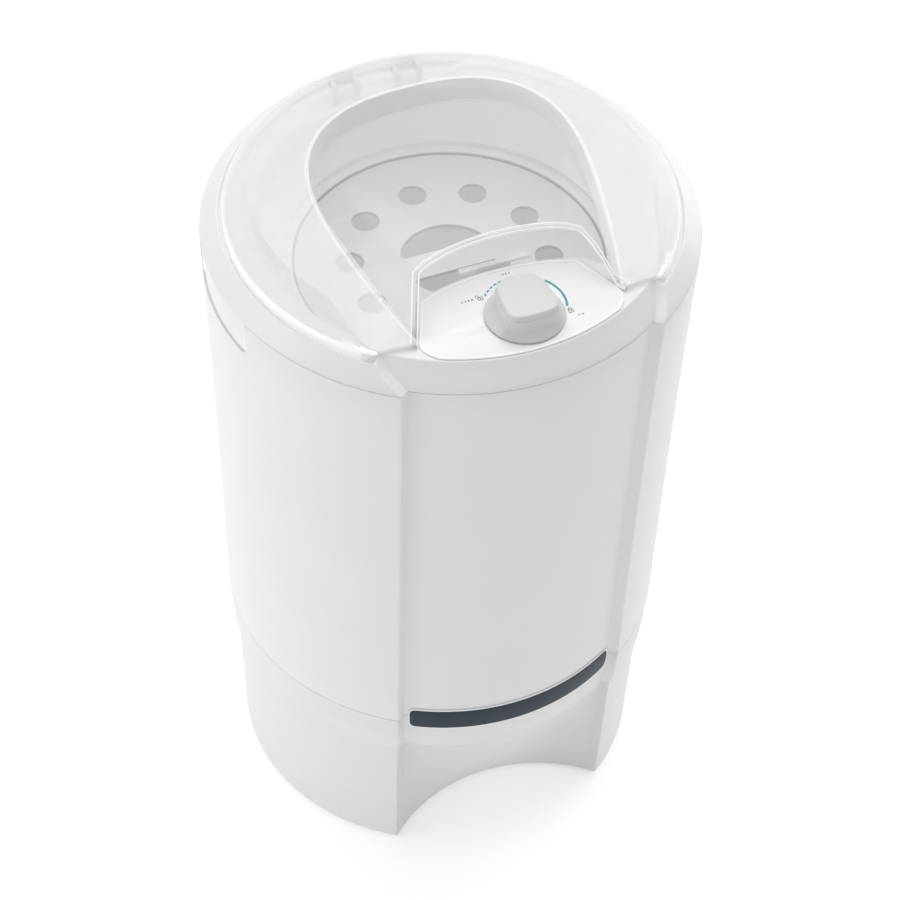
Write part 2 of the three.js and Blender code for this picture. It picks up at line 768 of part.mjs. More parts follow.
// A flat slider over the cam, with a slot round the knob's shaft.
function latchBolt() {
  const slotHalf = knobShaftRadius + 1;
  const tip = -consoleRearMid - 0.5;
  const tail = knobY - boltTravelOn - 9;
  const plate = block(knobX - boltWidth / 2, knobX + boltWidth / 2, tail, tip, boltFoot, boltTop);
  const slot = block(knobX - slotHalf, knobX + slotHalf, knobY - boltTravelOn - slotHalf,
    knobY + boltTravelOpen + slotHalf, boltFoot - 5, boltTop + 5);
  return cut(plate, slot);
}

// ---------------------------------------------------------------- lid

// The raised U of the lid in plan: radius of its crest at an angle, and the crest's height there.
function crestAt(angle) {
  const size = Math.abs(angle);
  const last = Math.atan2(crestFrontHalf, crestFrontY) / radians;
  const at = Math.max(size, last);
  let low = 50;
  let high = lidRadius;
  for (let pass = 0; pass < 30; pass += 1) {
    const radius = (low + high) / 2;
    const x = radius * Math.sin(at * radians);
    const y = -radius * Math.cos(at * radians);
    const back = (x / crestHalfWidth) ** 2.5 + (Math.max(y, 0) / crestBack) ** 2.5;
    const narrowing = (crestHalfWidth - crestFrontHalf) * (Math.max(-y, 0) / crestFrontY) ** 1.5;
    const inside = y > 0 ? back < 1 : x < crestHalfWidth - narrowing;
    if (inside) low = radius;
    else high = radius;
  }
  return { radius: low, height: crestMidHeight - crestSlope * low * Math.cos(at * radians) };
}

function lidProfile(angle) {
  const size = Math.abs(angle);
  const { radius: crestRadius, height: crestHeight } = crestAt(angle);
  const y = -crestRadius * Math.cos(angle * radians);
  const drop = blend(frontDrop, rearDrop, clamp01((y + 60) / (crestBack + 60)));
  const crestFoot = crestRadius - crestWidth;
  const footHeight = crestHeight - drop;
  const open = smooth((size - tipAngle) / 20);
  const shoulderR = blend(lidRadius - 3, shoulderRadius, open);
  const shoulderZ = blend(lidRimTop + 1.5, shoulderHeight, open);
  const top = [0, 0.45, 0.7, 0.87, 1].map((t) => [
    Math.max(crestFoot * t, 0), windowHeight + (footHeight - windowHeight) * t ** windowPower]);
  const outerCrest = Math.min(crestRadius + 1.5, shoulderR - 1);
  const outside = [
    [crestRadius - 2.2, crestHeight - 0.4],
    [outerCrest, crestHeight],
    [blend(outerCrest, shoulderR, 0.5), blend(crestHeight, shoulderZ, 0.5) + 1],
    [shoulderR, shoulderZ],
    [lidRadius, lidRimTop],
    [lidRadius, lidFoot],
  ];
  const t = lidThickness;
  const inside = [
    [lidRadius - t, lidFoot],
    [lidRadius - t, lidRimTop - 1],
    [shoulderR - 1, shoulderZ - t],
    [blend(outerCrest, shoulderR, 0.5), blend(crestHeight, shoulderZ, 0.5) + 1 - t],
    [outerCrest - 0.3, crestHeight - t - 0.3],
    [crestFoot + 2.7, footHeight - 0.7],
  ];
  const under = top.slice().reverse().map(([r, z]) => [r + 0.4 * (r > 0), z - t]);
  return { above: [...top, ...outside], below: [...inside, ...under] };
}

function lidAngles() {
  const list = [];
  for (let angle = -180; angle < 180; angle += 9) list.push(angle);
  return list;
}

function domeShell() {
  return loft(lidAngles().map((angle) => {
    const { above, below } = lidProfile(angle);
    return [...above, ...below].map(([r, z]) => polar(angle, r, z));
  }));
}

// The room under the dome's outside, down to the console's deck.
function domeFilled(floor) {
  return loft(lidAngles().map((angle) => {
    const { above } = lidProfile(angle);
    const upper = above.slice(0, -1);
    return [...upper, [lidRadius, floor], [0, floor]].map(([r, z]) => polar(angle, r, z));
  }));
}

// The notch round the console, seen from above, from the front left to the front right.
function notchLine(offset) {
  const { midY, cornerX, cornerY } = labelRear(offset);
  const line = [[-crestFrontHalf - offset, -crestFrontY], [-cornerX, cornerY]];
  for (let k = -3; k <= 3; k += 1) {
    const share = k / 4;
    line.push([share * cornerX, blend(midY, cornerY, share * share)]);
  }
  line.push([cornerX, cornerY], [crestFrontHalf + offset, -crestFrontY]);
  return line.map(([x, y]) => new THREE.Vector2(x, y));
}

function lid() {
  const clear = 1.5;
  const floor = consoleHeight + 2 * seat;
  const inner = notchLine(clear);
  const outer = notchLine(clear + wallThickness);
  const far = lidRadius + beyond;
  const frontCut = slab(new THREE.Shape([
    new THREE.Vector2(-far, -far), new THREE.Vector2(-far, -tipY), new THREE.Vector2(-tipX, -tipY),
    ...inner,
    new THREE.Vector2(tipX, -tipY), new THREE.Vector2(far, -tipY), new THREE.Vector2(far, -far),
  ]), lidFoot - beyond / 2, windowHeight + beyond);
  const wallStrip = slab(new THREE.Shape([...inner, ...outer.reverse()]), floor, windowHeight + beyond / 2);
  const wall = common(wallStrip, domeFilled(floor));
  const tipRelief = block(-far, far, -far, -tipY + 8, lidFoot - beyond / 2, floor);
  const reliefTop = lipHeight - 2;
  const rearRelief = block(-rearReliefHalf, rearReliefHalf, hingeY - beyond / 2, far, lidFoot - beyond / 2, reliefTop);
  const shell = join(cut(domeShell(), frontCut, tipRelief, rearRelief), wall);
  const knuckles = hingePlaces().flatMap((x) => {
    const left = x - knuckleLength / 2;
    const right = x + knuckleLength / 2;
    const web = block(left, right, hingeY - 4, hingeY + 4, hingeZ, hingeZ + 30);
    return [rodAlongX(knuckleRadius, left, right, hingeY, hingeZ), common(web, domeFilled(hingeZ - 20))];
  });
  return cut(join(shell, ...knuckles), ...hingePlaces().map(hingeBore));
}

// The tongue behind the notch wall, with the slot that the bolt enters.
function lidStrike() {
  const front = -consoleRearMid + strikeGap;
  const back = front + strikeThickness;
  const wallBack = labelRear(1.5 + wallThickness).midY;
  const top = consoleHeight + strikeRise;
  const half = strikeWidth / 2;
  const tongue = block(knobX - 17, knobX + 17, front, back, boltFoot - 5, top);
  const bridge = block(knobX - half, knobX + half, wallBack + seat, back, top - strikeBridge, top);
  const slot = block(knobX - boltWidth / 2 - 1, knobX + boltWidth / 2 + 1, front - 5, back + 5, boltFoot - 1,
    boltTop + 1.5);
  return cut(join(tongue, bridge), slot);
}

// The hole for the pin through a knuckle and its two ears.
function hingeBore(x) {
  const half = knuckleLength / 2 + seat + earThickness + 1;
  return rodAlongX(hingePinRadius + seat, x - half, x + half, hingeY, hingeZ);
}

function hingePin(x) {
  const half = knuckleLength / 2 + seat + earThickness;
  return rodAlongX(hingePinRadius, x - half, x + half, hingeY, hingeZ);
}

// ---------------------------------------------------------------- front strip

// Radius of the recessed front under the strip.
function frontRadius(z) {
  return (z > seamHeight ? wallRadius(z) : bandRadius(z)) - frontRecess;
}

function frontSlab(grow, thickness) {
  const round = 6;
  const bottom = stripBottom - grow;
  const top = stripTop + grow;
  const half = stripHalfAngle + grow / 3.7;
  const ends = [[half, round], [half - 0.45, round * 0.35], [half - 1.6, 0]];
  const inside = casingColumns().filter((column) => Math.abs(column) < half - 2.5);
  const middle = inside.reverse().map((angle) => [angle, 0]);
  const steps = [...ends, ...middle, ...ends.map(([angle, pull]) => [-angle, pull]).reverse()];
  const sections = steps.map(([angle, pull]) => {
    const low = bottom + pull;
    const high = top - pull;
    const outline = [
      [frontRadius(low) + seat, low],
      [frontRadius(low) + seat + thickness, low],
      [frontRadius(seamHeight) + seat + thickness, seamHeight],
      [frontRadius(high) + seat + thickness, high],
      [frontRadius(high) + seat, high],
      [frontRadius(seamHeight) + seat, seamHeight],
    ];
    return outline.map(([r, z]) => polar(angle, r, z));
  });
  return loft(sections, false);
}

function frontStrip() {
  return frontSlab(0, stripThickness);
}

function stripBezel() {
  const ring = frontSlab(bezelWidth + seat, stripThickness - 0.3);
  const room = frontSlab(seat, stripThickness + 10);
  return cut(ring, grownInwards(room));
}

// The same slab, carried on towards the axis, so that a cut with it goes right through.
function grownInwards(geometry) {
  const place = geometry.getAttribute('position');
  for (let i = 0; i < place.count; i += 1) {
    const radius = Math.hypot(place.getX(i), place.getY(i));
    const share = radius < frontRadius(stripTop) + stripThickness ? (radius - 6) / radius : 1;
    place.setX(i, place.getX(i) * share);
    place.setY(i, place.getY(i) * share);
  }
  return geometry;
}

// ---------------------------------------------------------------- tub, basket and disc

function tubScrewPlaces() {
  return [45, 135, 225, 315].map((angle) => polar(angle, tubScrewRing, 0));
}

function drainPlace() {
  const [x, y] = polar(drainAngle, drainRing, 0);
  return [x, y];
}

function tub() {
  const foot = seamHeight + seat;
  const top = grooveFloor - pocketDrop - collarWall - seat;
  const floor = foot + tubWall;
  const shell = revolve([
    [tubRadius, foot], [tubRadius, top], [tubRadius - tubWall, top], [tubRadius - tubWall, floor],
    [tubHole + tubWall, floor], [tubHole + tubWall, floor + 5], [tubHole, floor + 5], [tubHole, foot],
  ]);
  const [drainX, drainY] = drainPlace();
  const spigotFoot = foot - 16;
  const spigotRadius = drainRadius - drainWall - 3 * seat;
  const spigot = rod(spigotRadius, spigotFoot, foot + 1, drainX, drainY);
  const bosses = tubScrewPlaces().map(([x, y]) => rod(6, foot + 0.5, floor + 8, x, y, 12));
  const screwHoles = tubScrewPlaces().map(([x, y]) => rod(tubScrewRadius + seat, foot - 5, floor + 6, x, y, 10));
  const drainBore = rod(spigotRadius - 1.5, spigotFoot - 5, floor + 5, drainX, drainY);
  return cut(join(shell, spigot, ...bosses), drainBore, ...screwHoles);
}

function tubScrew(x, y) {
  const foot = seamHeight - baseWall - seat;
  const shank = rod(tubScrewRadius, foot - 1, seamHeight + seat + tubWall + 5, x, y, 10);
  return join(rod(tubScrewRadius * 2, foot - 3, foot, x, y, 12), shank);
}

// The hose from the tub's spigot to the outlet in the back of the skirt.
function drainHose() {
  const top = seamHeight + seat - 1;
  const [x, y] = drainPlace();
  const outlet = polar(drainAngle, skirtRadius(drainOutletHeight) + 14, drainOutletHeight);
  const inWall = polar(drainAngle, skirtRadius(drainOutletHeight) - 2, drainOutletHeight);
  const straight = polar(drainAngle, skirtRadius(drainOutletHeight) - 14, drainOutletHeight);
  const bend = polar(drainAngle, drainRing + 7, drainOutletHeight + 14);
  const points = [[x, y, top], [x, y, top - hoseNeck], [x, y, top - hoseDrop], bend, straight, inWall, outlet];
  return tube(points, drainRadius - seat, 12, { bore: drainRadius - drainWall, sides: 10 });
}

function shaftSeal() {
  const foot = seamHeight + seat;
  return revolve([
    [shaftRadius + runGap, foot], [tubHole - seat, foot], [tubHole - seat, foot + 6],
    [shaftRadius + 5, foot + 9], [shaftRadius + runGap, foot + 9],
  ], 24);
}

function basket() {
  const corner = 7;
  const inner = basketRadius - basketWall;
  const wall = revolve([
    [hubRadius + seat, basketFloor], [basketRadius - corner, basketFloor],
    [basketRadius, basketFloor + corner], [basketRadius, basketTop], [inner, basketTop],
    [inner, basketFloor + corner + 0.6], [basketRadius - corner - 0.6, basketFloor + basketWall],
    [hubRadius + seat, basketFloor + basketWall],
  ]);
  const holes = [];
  for (let row = 0; row < basketRows; row += 1) {
    const z = basketFloor + (basketHeight * (row + 0.6)) / basketRows;
    for (let k = 0; k < basketColumns; k += 1) {
      const angle = ((k + (row % 2) / 2) * 360) / basketColumns + 2;
      holes.push(spoke(basketHoleRadius, inner - 5, basketRadius + 5, angle, z, 6));
    }
  }
  return cut(wall, ...holes);
}

// The heavy ring round the basket's mouth, with a rebate that holds the disc.
function basketRim() {
  const overlapFoot = basketTop - rimOverlap;
  return revolve([
    [basketRadius + seat, overlapFoot], [rimRadius, overlapFoot], [rimRadius, rimTop - 3],
    [rimRadius - 2, rimTop], [discRadius + 2, rimTop], [discRadius + 2, discFoot - seat],
    [rimInner, discFoot - seat], [rimInner, rimFoot], [basketRadius + seat, rimFoot],
  ]);
}

function halfMoon(sign) {
  const shape = new THREE.Shape();
  const reach = Math.acos(discBarHalf / discGripRadius);
  const middle = (sign * Math.PI) / 2;
  shape.absarc(0, 0, discGripRadius, middle - reach, middle + reach, false);
  shape.closePath();
  return slab(shape, discFoot - 5, discFoot + discThickness + 5, 10);
}

function innerDisc() {
  const plate = rod(discRadius, discFoot, discFoot + discThickness, 0, 0, 36);
  const holes = [];
  for (let k = 0; k < discHoleCount; k += 1) {
    const [x, y] = polar((k * 360) / discHoleCount, discHoleRing, 0);
    holes.push(rod(discHoleRadius, discFoot - 5, discFoot + discThickness + 5, x, y, 12));
  }
  return cut(plate, ...holes, halfMoon(1), halfMoon(-1));
}

// ---------------------------------------------------------------- hub, shaft, motor and brake

function basketHub() {
  const foot = basketFloor - seat - 8;
  return revolve([
    [shaftRadius + seat, foot], [hubFlange, foot], [hubFlange, basketFloor - seat],
    [hubRadius, basketFloor - seat], [hubRadius, basketFloor + 12], [hubRadius - 8, hubTop - 8],
    [hubRadius - 14, hubTop], [shaftRadius + seat, hubTop],
  ], 24);
}

function clampRing() {
  const foot = basketFloor + basketWall + seat;
  return revolve([
    [hubRadius + seat, foot], [hubFlange, foot], [hubFlange, foot + 4], [hubRadius + seat, foot + 4],
  ], 24);
}

function hubNut() {
  const across = nutWidth / Math.sqrt(3);
  const nut = rod(across, hubTop + seat, hubTop + seat + 12, 0, 0, 6);
  return cut(nut, rod(shaftRadius + seat, hubTop - 5, hubTop + 20));
}

function driveShaft() {
  return rod(shaftRadius, shaftFloor + motorWall + seat, shaftTop, 0, 0, 24);
}

function bearing(foot) {
  const inner = shaftRadius + seat;
  const top = foot + bearingHeight;
  return revolve([[inner, foot], [bearingRadius, foot], [bearingRadius, top], [inner, top]], 28);
}

function motorHousing() {
  const foot = shaftFloor;
  const pocket = bearingRadius + seat;
  const floor = foot + motorWall;
  const bossTop = floor + bearingHeight + 2 * seat;
  return revolve([
    [shaftRadius, foot], [motorRadius, foot], [motorRadius, motorTop], [motorRadius - motorWall, motorTop],
    [motorRadius - motorWall, floor], [pocket + 5, floor], [pocket + 5, bossTop], [pocket, bossTop],
    [pocket, floor], [shaftRadius, floor],
  ], 28);
}

function motorCap() {
  const foot = motorTop + seat;
  const pocket = bearingRadius + seat;
  const ledge = noseTop - bearingHeight - 2 * seat;
  return revolve([
    [motorRadius - motorWall - 2, foot], [motorRadius, foot], [motorRadius, foot + 6], [motorRadius - 24, foot + 6],
    [pocket + 15.7, foot + 11],
    [pocket + 7.5, noseTop - 8], [pocket + 7.5, noseTop], [pocket, noseTop], [pocket, ledge],
    [shaftRadius + 2, ledge], [shaftRadius + 2, ledge - 12], [26, foot + 4], [motorRadius - motorWall - 6, foot + 2],
  ], 28);
}

function motorStator() {
  const outer = motorRadius - motorWall - seat;
  const foot = shaftFloor + 20;
  const top = foot + rotorHeight + 8;
  const inner = outer - statorThickness;
  return revolve([[inner, foot], [outer, foot], [outer, top], [inner, top]], 28);
}

function motorRotor() {
  const inner = shaftRadius + seat;
  const foot = shaftFloor + 24;
  const top = foot + rotorHeight;
  return revolve([[inner, foot], [rotorRadius, foot], [rotorRadius, top], [inner, top]], 28);
}

function brakeDrum() {
  const inner = shaftRadius + seat;
  return revolve([
    [inner, drumFoot], [drumRadius, drumFoot], [drumRadius, drumTop], [drumRadius - 4, drumTop],
    [drumRadius - 4, drumFoot + 4], [inner + 8, drumFoot + 4], [inner + 8, drumTop - 1], [inner, drumTop - 1],
  ], 32);
}

function leverFoot() {
  return drumFoot + 4;
}

function brakeLever() {
  const foot = leverFoot();
  const top = foot + leverThickness;
  const bar = block(leverX - leverHalfWidth, leverX + leverHalfWidth, leverPivotY, leverEndY, foot, top);
  const eye = rod(leverEyeRadius, foot, top, leverX, leverPivotY);
  return cut(join(bar, eye), rod(pivotRadius + seat, foot - 5, top + 5, leverX, leverPivotY));
}

function brakePad() {
  const foot = leverFoot() - 1.5;
  const padHalf = 10;
  return block(leverX + leverHalfWidth + seat, -drumRadius - brakeGap, -padHalf, padHalf, foot, foot + leverThickness + 3);
}

// The pin stands on the motor's cap; its head keeps the lever on.
function brakePivotPin() {
  const foot = motorTop + seat + 6 + seat;
  const top = leverFoot() + leverThickness + seat;
  const shank = rod(pivotRadius, foot, top, leverX, leverPivotY);
  const collar = rod(pivotRadius + 4, foot, foot + 3, leverX, leverPivotY);
  const head = rod(pivotRadius + 3, top, top + 2, leverX, leverPivotY);
  return join(shank, collar, head);
}

// The coil round the pin that turns the lever.
function brakeSpring() {
  const top = leverFoot() - seat - springWire;
  const turns = 4;
  const pitch = 3.2;
  const ring = pivotRadius + 2 * seat + springWire;
  const points = [];
  for (let k = 0; k <= turns * 8; k += 1) {
    const turn = (k / 8) * 2 * Math.PI;
    points.push([leverX + ring * Math.cos(turn), leverPivotY + ring * Math.sin(turn), top - (k / 8) * pitch]);
  }
  return tube(points, springWire, turns * 8, { sides: 5 });
}

// ---------------------------------------------------------------- suspension, base plate and feet

function motorPlate() {
  const foot = basePlateHeight + basePlateThickness + mountHeight + 2 * seat;
  return revolve([
    [30, foot], [motorPlateRadius, foot], [motorPlateRadius, foot + motorPlateThickness],
    [30, foot + motorPlateThickness],
  ]);
}

function suspensionPlaces() {
  return [180, 60, -60].map((angle) => polar(angle, mountRing, 0));
}

function suspensionMount(x, y) {
  const foot = basePlateHeight + basePlateThickness + seat;
  const top = foot + mountHeight;
  const waist = mountRadius - 6;
  const buffer = revolve([
    [0, foot], [mountRadius, foot], [mountRadius, foot + 6], [waist, foot + mountHeight / 2],
    [mountRadius, top - 6], [mountRadius, top], [0, top],
  ], 14);
  buffer.translate(x, y, 0);
  return buffer;
}

function footPlaces() {
  return {
    front_left: polar(-footFrontAngle, footRing, 0),
    front_right: polar(footFrontAngle, footRing, 0),
    rear_left: polar(-footRearAngle, footRing, 0),
    rear_right: polar(footRearAngle, footRing, 0),
  };
}

// The sheet that closes the base: it follows the skirt's inside and the scallop.
function basePlate() {
  const outline = casingColumns().map((column) => {
    const z = basePlateHeight;
    const share = (z - skirtClearance) / (bandFoot - skirtClearance);
    const angle = slide(column, blend(scallopHalfAngle, frontHalfAngle, share));
    const wall = inFront(column) ? scallopWall(angle, z) : skirtRadius(z);
    const clear = inFront(column) ? 6 * seat : 2 * seat;
    const [x, y] = polar(angle, wall - baseWall - clear, 0);
    return new THREE.Vector2(x, y);
  });
  const plate = slab(new THREE.Shape(outline), basePlateHeight, basePlateHeight + basePlateThickness);
  const stems = Object.values(footPlaces()).map(([x, y]) => rod(footStem + seat, 0, beyond, x, y, 14));
  const vents = [];
  for (let k = 0; k < 7; k += 1) {
    const x = (k - 3) * 16;
    vents.push(block(x - 4, x + 4, -45, 45, 0, beyond));
  }
  return cut(plate, ...stems, ...vents);
}

function rubberFoot(x, y) {
  const shoulder = basePlateHeight - seat;
  const head = basePlateHeight + basePlateThickness + seat;
  const foot = revolve([
    [0, 0], [footRadius, 0], [footRadius - 2, shoulder], [footStem, shoulder], [footStem, head],
    [footStem + 2.5, head], [footStem, head + 5], [0, head + 5],
  ], 14);
  foot.translate(x, y, 0);
  return foot;
}

// ---------------------------------------------------------------- service pieces

function capacitor() {
  const foot = basePlateHeight + basePlateThickness + seat;
  const can = rod(capacitorRadius, foot, foot + capacitorHeight, capacitorX, capacitorY, 24);
  const tags = [-6, 6].map((dx) => block(capacitorX + dx - 3, capacitorX + dx + 3, capacitorY - 0.5,
    capacitorY + 0.5, foot + capacitorHeight - 1, foot + capacitorHeight + 8));
  return join(can, ...tags);
}

// The bush that the supply lead would pass through.
function cordGland() {
  const wall = skirtRadius(glandHeight + glandRadius) + seat;
  const neck = spoke(glandRadius - 2 - seat, wall - 14, wall + 5, glandAngle, glandHeight, 20);
  const flange = spoke(glandRadius, wall, wall + 5, glandAngle, glandHeight, 20);
  const bore = spoke(glandRadius - 5, wall - 30, wall + 30, glandAngle, glandHeight, 16);
  return cut(join(neck, flange), bore);
}

// A lead or cable from the console, down the outside of the tub, through the deck.
function downTheTub(start, angle, end) {
  const run = tubRadius + seat + cableRadius;
  const over = consoleHeight - consoleWall - cableRadius - 3;
  const inward = Math.sign(angle) * 27;
  const points = [
    start, polar(inward, tubRadius - leadInset, over), polar(angle, run - 8, over), polar(angle, run + 2, over - 4),
    polar(angle, run + 1.5, over - 18), polar(angle, run, over - leadBend), polar(angle, run, over - leadDrop),
    polar(angle, run, seamHeight + leadBend), polar(angle, run, seamHeight + 10), polar(angle, run, seamHeight - 14),
    ...end,
  ];
  return tube(points, cableRadius, 34, { sides: 6 });
}

function brakeCable() {
  const z = leverFoot() + leverThickness / 2;
  const start = [knobX - switchSize / 2 - 3, knobY - 6, switchTop - 6];
  const pullY = leverEndY - 6;
  const end = [
    [leverX - cableSweep + 6, leverPivotY - 18, z - 6], [leverX - cableSweep, pullY - 30, z - 3],
    [leverX - cableSweep + 20, pullY - 2, z], [leverX - 20, pullY, z], [leverX - leverHalfWidth - seat, pullY, z],
  ];
  return downTheTub(start, cableAngle, end);
}

function motorLead() {
  const z = motorTop - 10;
  const start = [knobX + switchSize / 2 + 3, knobY - 6, switchTop - 6];
  const [x, y] = polar(leadAngle, motorRadius + seat, z);
  const [bendX, bendY] = polar(leadAngle, motorRadius + leadReach, z + 4);
  return downTheTub(start, leadAngle, [[bendX, bendY, z + 4], [x, y, z]]);
}

// ---------------------------------------------------------------- finishes and assembly

function finish(color, roughness, metalness = 0, opacity = 1) {
  return new THREE.MeshStandardMaterial({ color, roughness, metalness, opacity, transparent: opacity < 1 });
}

const whitePlastic = finish(0xf2f2f3, 0.45);
const innerPlastic = finish(0xececee, 0.5);
const gripPlastic = finish(0xf8f8f9, 0.4);
const clearPlastic = finish(0xf4f6f7, 0.12, 0, 0.4);
const labelFilm = finish(0xf3f3f4, 0.35);
const slateFilm = finish(0x434851, 0.35);
const knobPlastic = finish(0xeeeeef, 0.35);
const darkPlastic = finish(0x2c2e31, 0.55);
const steel = finish(0xb8bcc0, 0.35, 1);
const castAlloy = finish(0xa9adb1, 0.5, 1);
const copper = finish(0x9c5a32, 0.45, 1);
const blackRubber = finish(0x1f2022, 0.85);
const frictionPad = finish(0x5a4a3e, 0.9);
const cableSheath = finish(0x35383c, 0.6);

const spinDryer = new THREE.Group();
spinDryer.position.y = axisY;

function add(name, geometry, material) {
  const mesh = new THREE.Mesh(tidied(geometry), material);
  mesh.name = name;
  spinDryer.add(mesh);
}

add('base_shell', baseShell(), whitePlastic);
add('base_plate', basePlate(), darkPlastic);
for (const [name, [x, y]] of Object.entries(footPlaces())) {
  add(`foot_${name}`, rubberFoot(x, y), blackRubber);
}
add('outer_shell', outerShell(), whitePlastic);
add('grip_cup_left', gripCup(-90), gripPlastic);
add('grip_cup_right', gripCup(90), gripPlastic);
add('front_strip', frontStrip(), slateFilm);
add('strip_bezel', stripBezel(), gripPlastic);
add('top_collar', topCollar(), whitePlastic);
add('console_floor', consoleFloor(), innerPlastic);
add('console_label', consoleLabel(), labelFilm);
add('knob', knob(), knobPlastic);
add('knob_shaft', knobShaft(), steel);
add('rotary_switch', rotarySwitch(), darkPlastic);
add('latch_cam', latchCam(), innerPlastic);
add('latch_bolt', latchBolt(), innerPlastic);
add('lid', lid(), clearPlastic);
add('lid_strike', lidStrike(), clearPlastic);
add('hinge_pin_left', hingePin(-hingeX), steel);
add('hinge_pin_right', hingePin(hingeX), steel);
add('tub', tub(), innerPlastic);
tubScrewPlaces().forEach(([x, y], i) => add(`tub_screw_${i + 1}`, tubScrew(x, y), steel));
add('drain_hose', drainHose(), blackRubber);
add('shaft_seal', shaftSeal(), blackRubber);
add('basket', basket(), steel);
add('basket_rim', basketRim(), innerPlastic);
add('basket_hub', basketHub(), castAlloy);
add('basket_clamp_ring', clampRing(), steel);
add('hub_nut', hubNut(), steel);
add('inner_disc', innerDisc(), innerPlastic);
add('drive_shaft', driveShaft(), steel);
add('lower_bearing', bearing(shaftFloor + motorWall + seat), steel);
add('upper_bearing', bearing(noseTop - bearingHeight - seat), steel);
add('motor_housing', motorHousing(), castAlloy);
add('motor_cap', motorCap(), castAlloy);
add('motor_stator', motorStator(), copper);
add('motor_rotor', motorRotor(), steel);
add('brake_drum', brakeDrum(), steel);
add('brake_lever', brakeLever(), steel);
add('brake_pad', brakePad(), frictionPad);
add('brake_pivot_pin', brakePivotPin(), steel);
add('brake_spring', brakeSpring(), steel);
add('motor_plate', motorPlate(), steel);
suspensionPlaces().forEach(([x, y], i) => add(`suspension_mount_${i + 1}`, suspensionMount(x, y), blackRubber));
add('capacitor', capacitor(), castAlloy);
add('cord_gland', cordGland(), darkPlastic);
add('brake_cable', brakeCable(), cableSheath);
add('motor_lead', motorLead(), cableSheath);

export default spinDryer;
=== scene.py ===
# %% [markdown]
# # A round laundry spin dryer
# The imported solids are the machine's skeleton: they have the true sizes and the joints, but their round
# walls are made of few flat faces. This lesson dresses that skeleton. Walls that show are made again
# here with many more columns and with soft moulded edges, and the hidden metal and rubber keep their
# solids and get a real finish.

# %% Load the frame
import bmesh
import bpy
import math
from mathutils import Matrix, Vector


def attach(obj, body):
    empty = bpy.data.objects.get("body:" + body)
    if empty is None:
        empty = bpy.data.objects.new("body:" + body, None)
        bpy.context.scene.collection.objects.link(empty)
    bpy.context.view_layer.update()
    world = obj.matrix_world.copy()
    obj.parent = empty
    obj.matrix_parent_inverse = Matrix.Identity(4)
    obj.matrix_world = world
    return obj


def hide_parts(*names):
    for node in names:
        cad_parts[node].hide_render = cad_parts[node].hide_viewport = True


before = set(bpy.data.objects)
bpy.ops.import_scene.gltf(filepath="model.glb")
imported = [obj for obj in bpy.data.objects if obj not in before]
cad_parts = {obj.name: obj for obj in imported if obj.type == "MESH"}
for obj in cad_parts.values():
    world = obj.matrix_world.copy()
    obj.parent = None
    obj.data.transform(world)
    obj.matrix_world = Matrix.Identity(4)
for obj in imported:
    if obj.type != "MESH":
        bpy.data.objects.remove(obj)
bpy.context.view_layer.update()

# %% [markdown]
# All sizes below are in millimetres and are measured from the drum's axis, which is how a moulder would
# draw round work. Two helpers turn them into the frame's metres and back: the drum's axis stands a
# little in front of the footprint's centre, so that shift lives here only.

# %% Millimetres round the drum's axis
MM = 0.001
AXIS_Y = -4.5          # the drum's axis in the frame


def placed(point):
    """A point in millimetres round the drum's axis, in the frame's metres."""
    x, y, z = point
    return (x * MM, (y + AXIS_Y) * MM, z * MM)


def measured(place):
    """A place in the frame's metres, in millimetres round the drum's axis."""
    return (place.x / MM, place.y / MM - AXIS_Y, place.z / MM)


def around(angle, radius, z):
    """A point at an angle from the front, in degrees, positive towards the user's right."""
    turn = math.radians(angle)
    return (radius * math.sin(turn), -radius * math.cos(turn), z)


def blend(a, b, share):
    return a + (b - a) * share


def lerp(a, b, share):
    """The point that far on from one point to another, whatever their number of figures."""
    return tuple(blend(p, q, share) for p, q in zip(a, b))


def smooth(share):
    """A soft step from 0 to 1."""
    share = min(1.0, max(0.0, share))
    return share * share * (3 - 2 * share)


# %% [markdown]
# ## Camera
# The photograph looks down on the machine from its left front, from quite far away, so a long lens is
# used. The place and the tilt were solved from the round rims, whose ellipses say how steeply the
# camera looks down. All angles are in degrees.

# %% Camera
CAMERA_DISTANCE = 2041.0
CAMERA_HEIGHT = 2603.0
CAMERA_SIDE = 23.71       # round the drum, from its front
LOOK_DOWN = 47.41
LOOK_ASIDE = 0.19
ROLL = 2.05
FOCAL_LENGTH = 120.0

swing = math.radians(CAMERA_SIDE)
down = math.radians(LOOK_DOWN)
aside = math.radians(LOOK_ASIDE)
roll = math.radians(ROLL)
forward = Vector((math.sin(aside) * math.cos(down), math.cos(aside) * math.cos(down), -math.sin(down)))
level_right = Vector((math.cos(aside), -math.sin(aside), 0.0))
level_up = level_right.cross(forward)
right = level_right * math.cos(roll) + level_up * math.sin(roll)
up = level_up * math.cos(roll) - level_right * math.sin(roll)
round_drum = Matrix.Rotation(-swing, 3, "Z")
axes = [round_drum @ v for v in (right, up, -forward)]
camera_data = bpy.data.cameras.new("photo_camera")
camera_data.lens = FOCAL_LENGTH
camera_data.sensor_width = 36.0
camera_data.clip_end = 50.0
camera = bpy.data.objects.new("photo_camera", camera_data)
bpy.context.scene.collection.objects.link(camera)
stand = round_drum @ Vector((0.0, -CAMERA_DISTANCE, CAMERA_HEIGHT))
turned = Matrix((axes[0], axes[1], axes[2])).transposed().to_4x4()
camera.matrix_world = Matrix.Translation(placed(stand)) @ turned
bpy.context.scene.camera = camera
print("camera at", [round(v, 3) for v in camera.location])

# %% [markdown]
# ## Studio
# White goods are photographed in a white room: one wide light above, two tall ones at the sides that
# draw a bright edge down each flank, and little from the front, so that the front is a shade greyer
# than the sides. The floor is pale and catches one soft shadow.

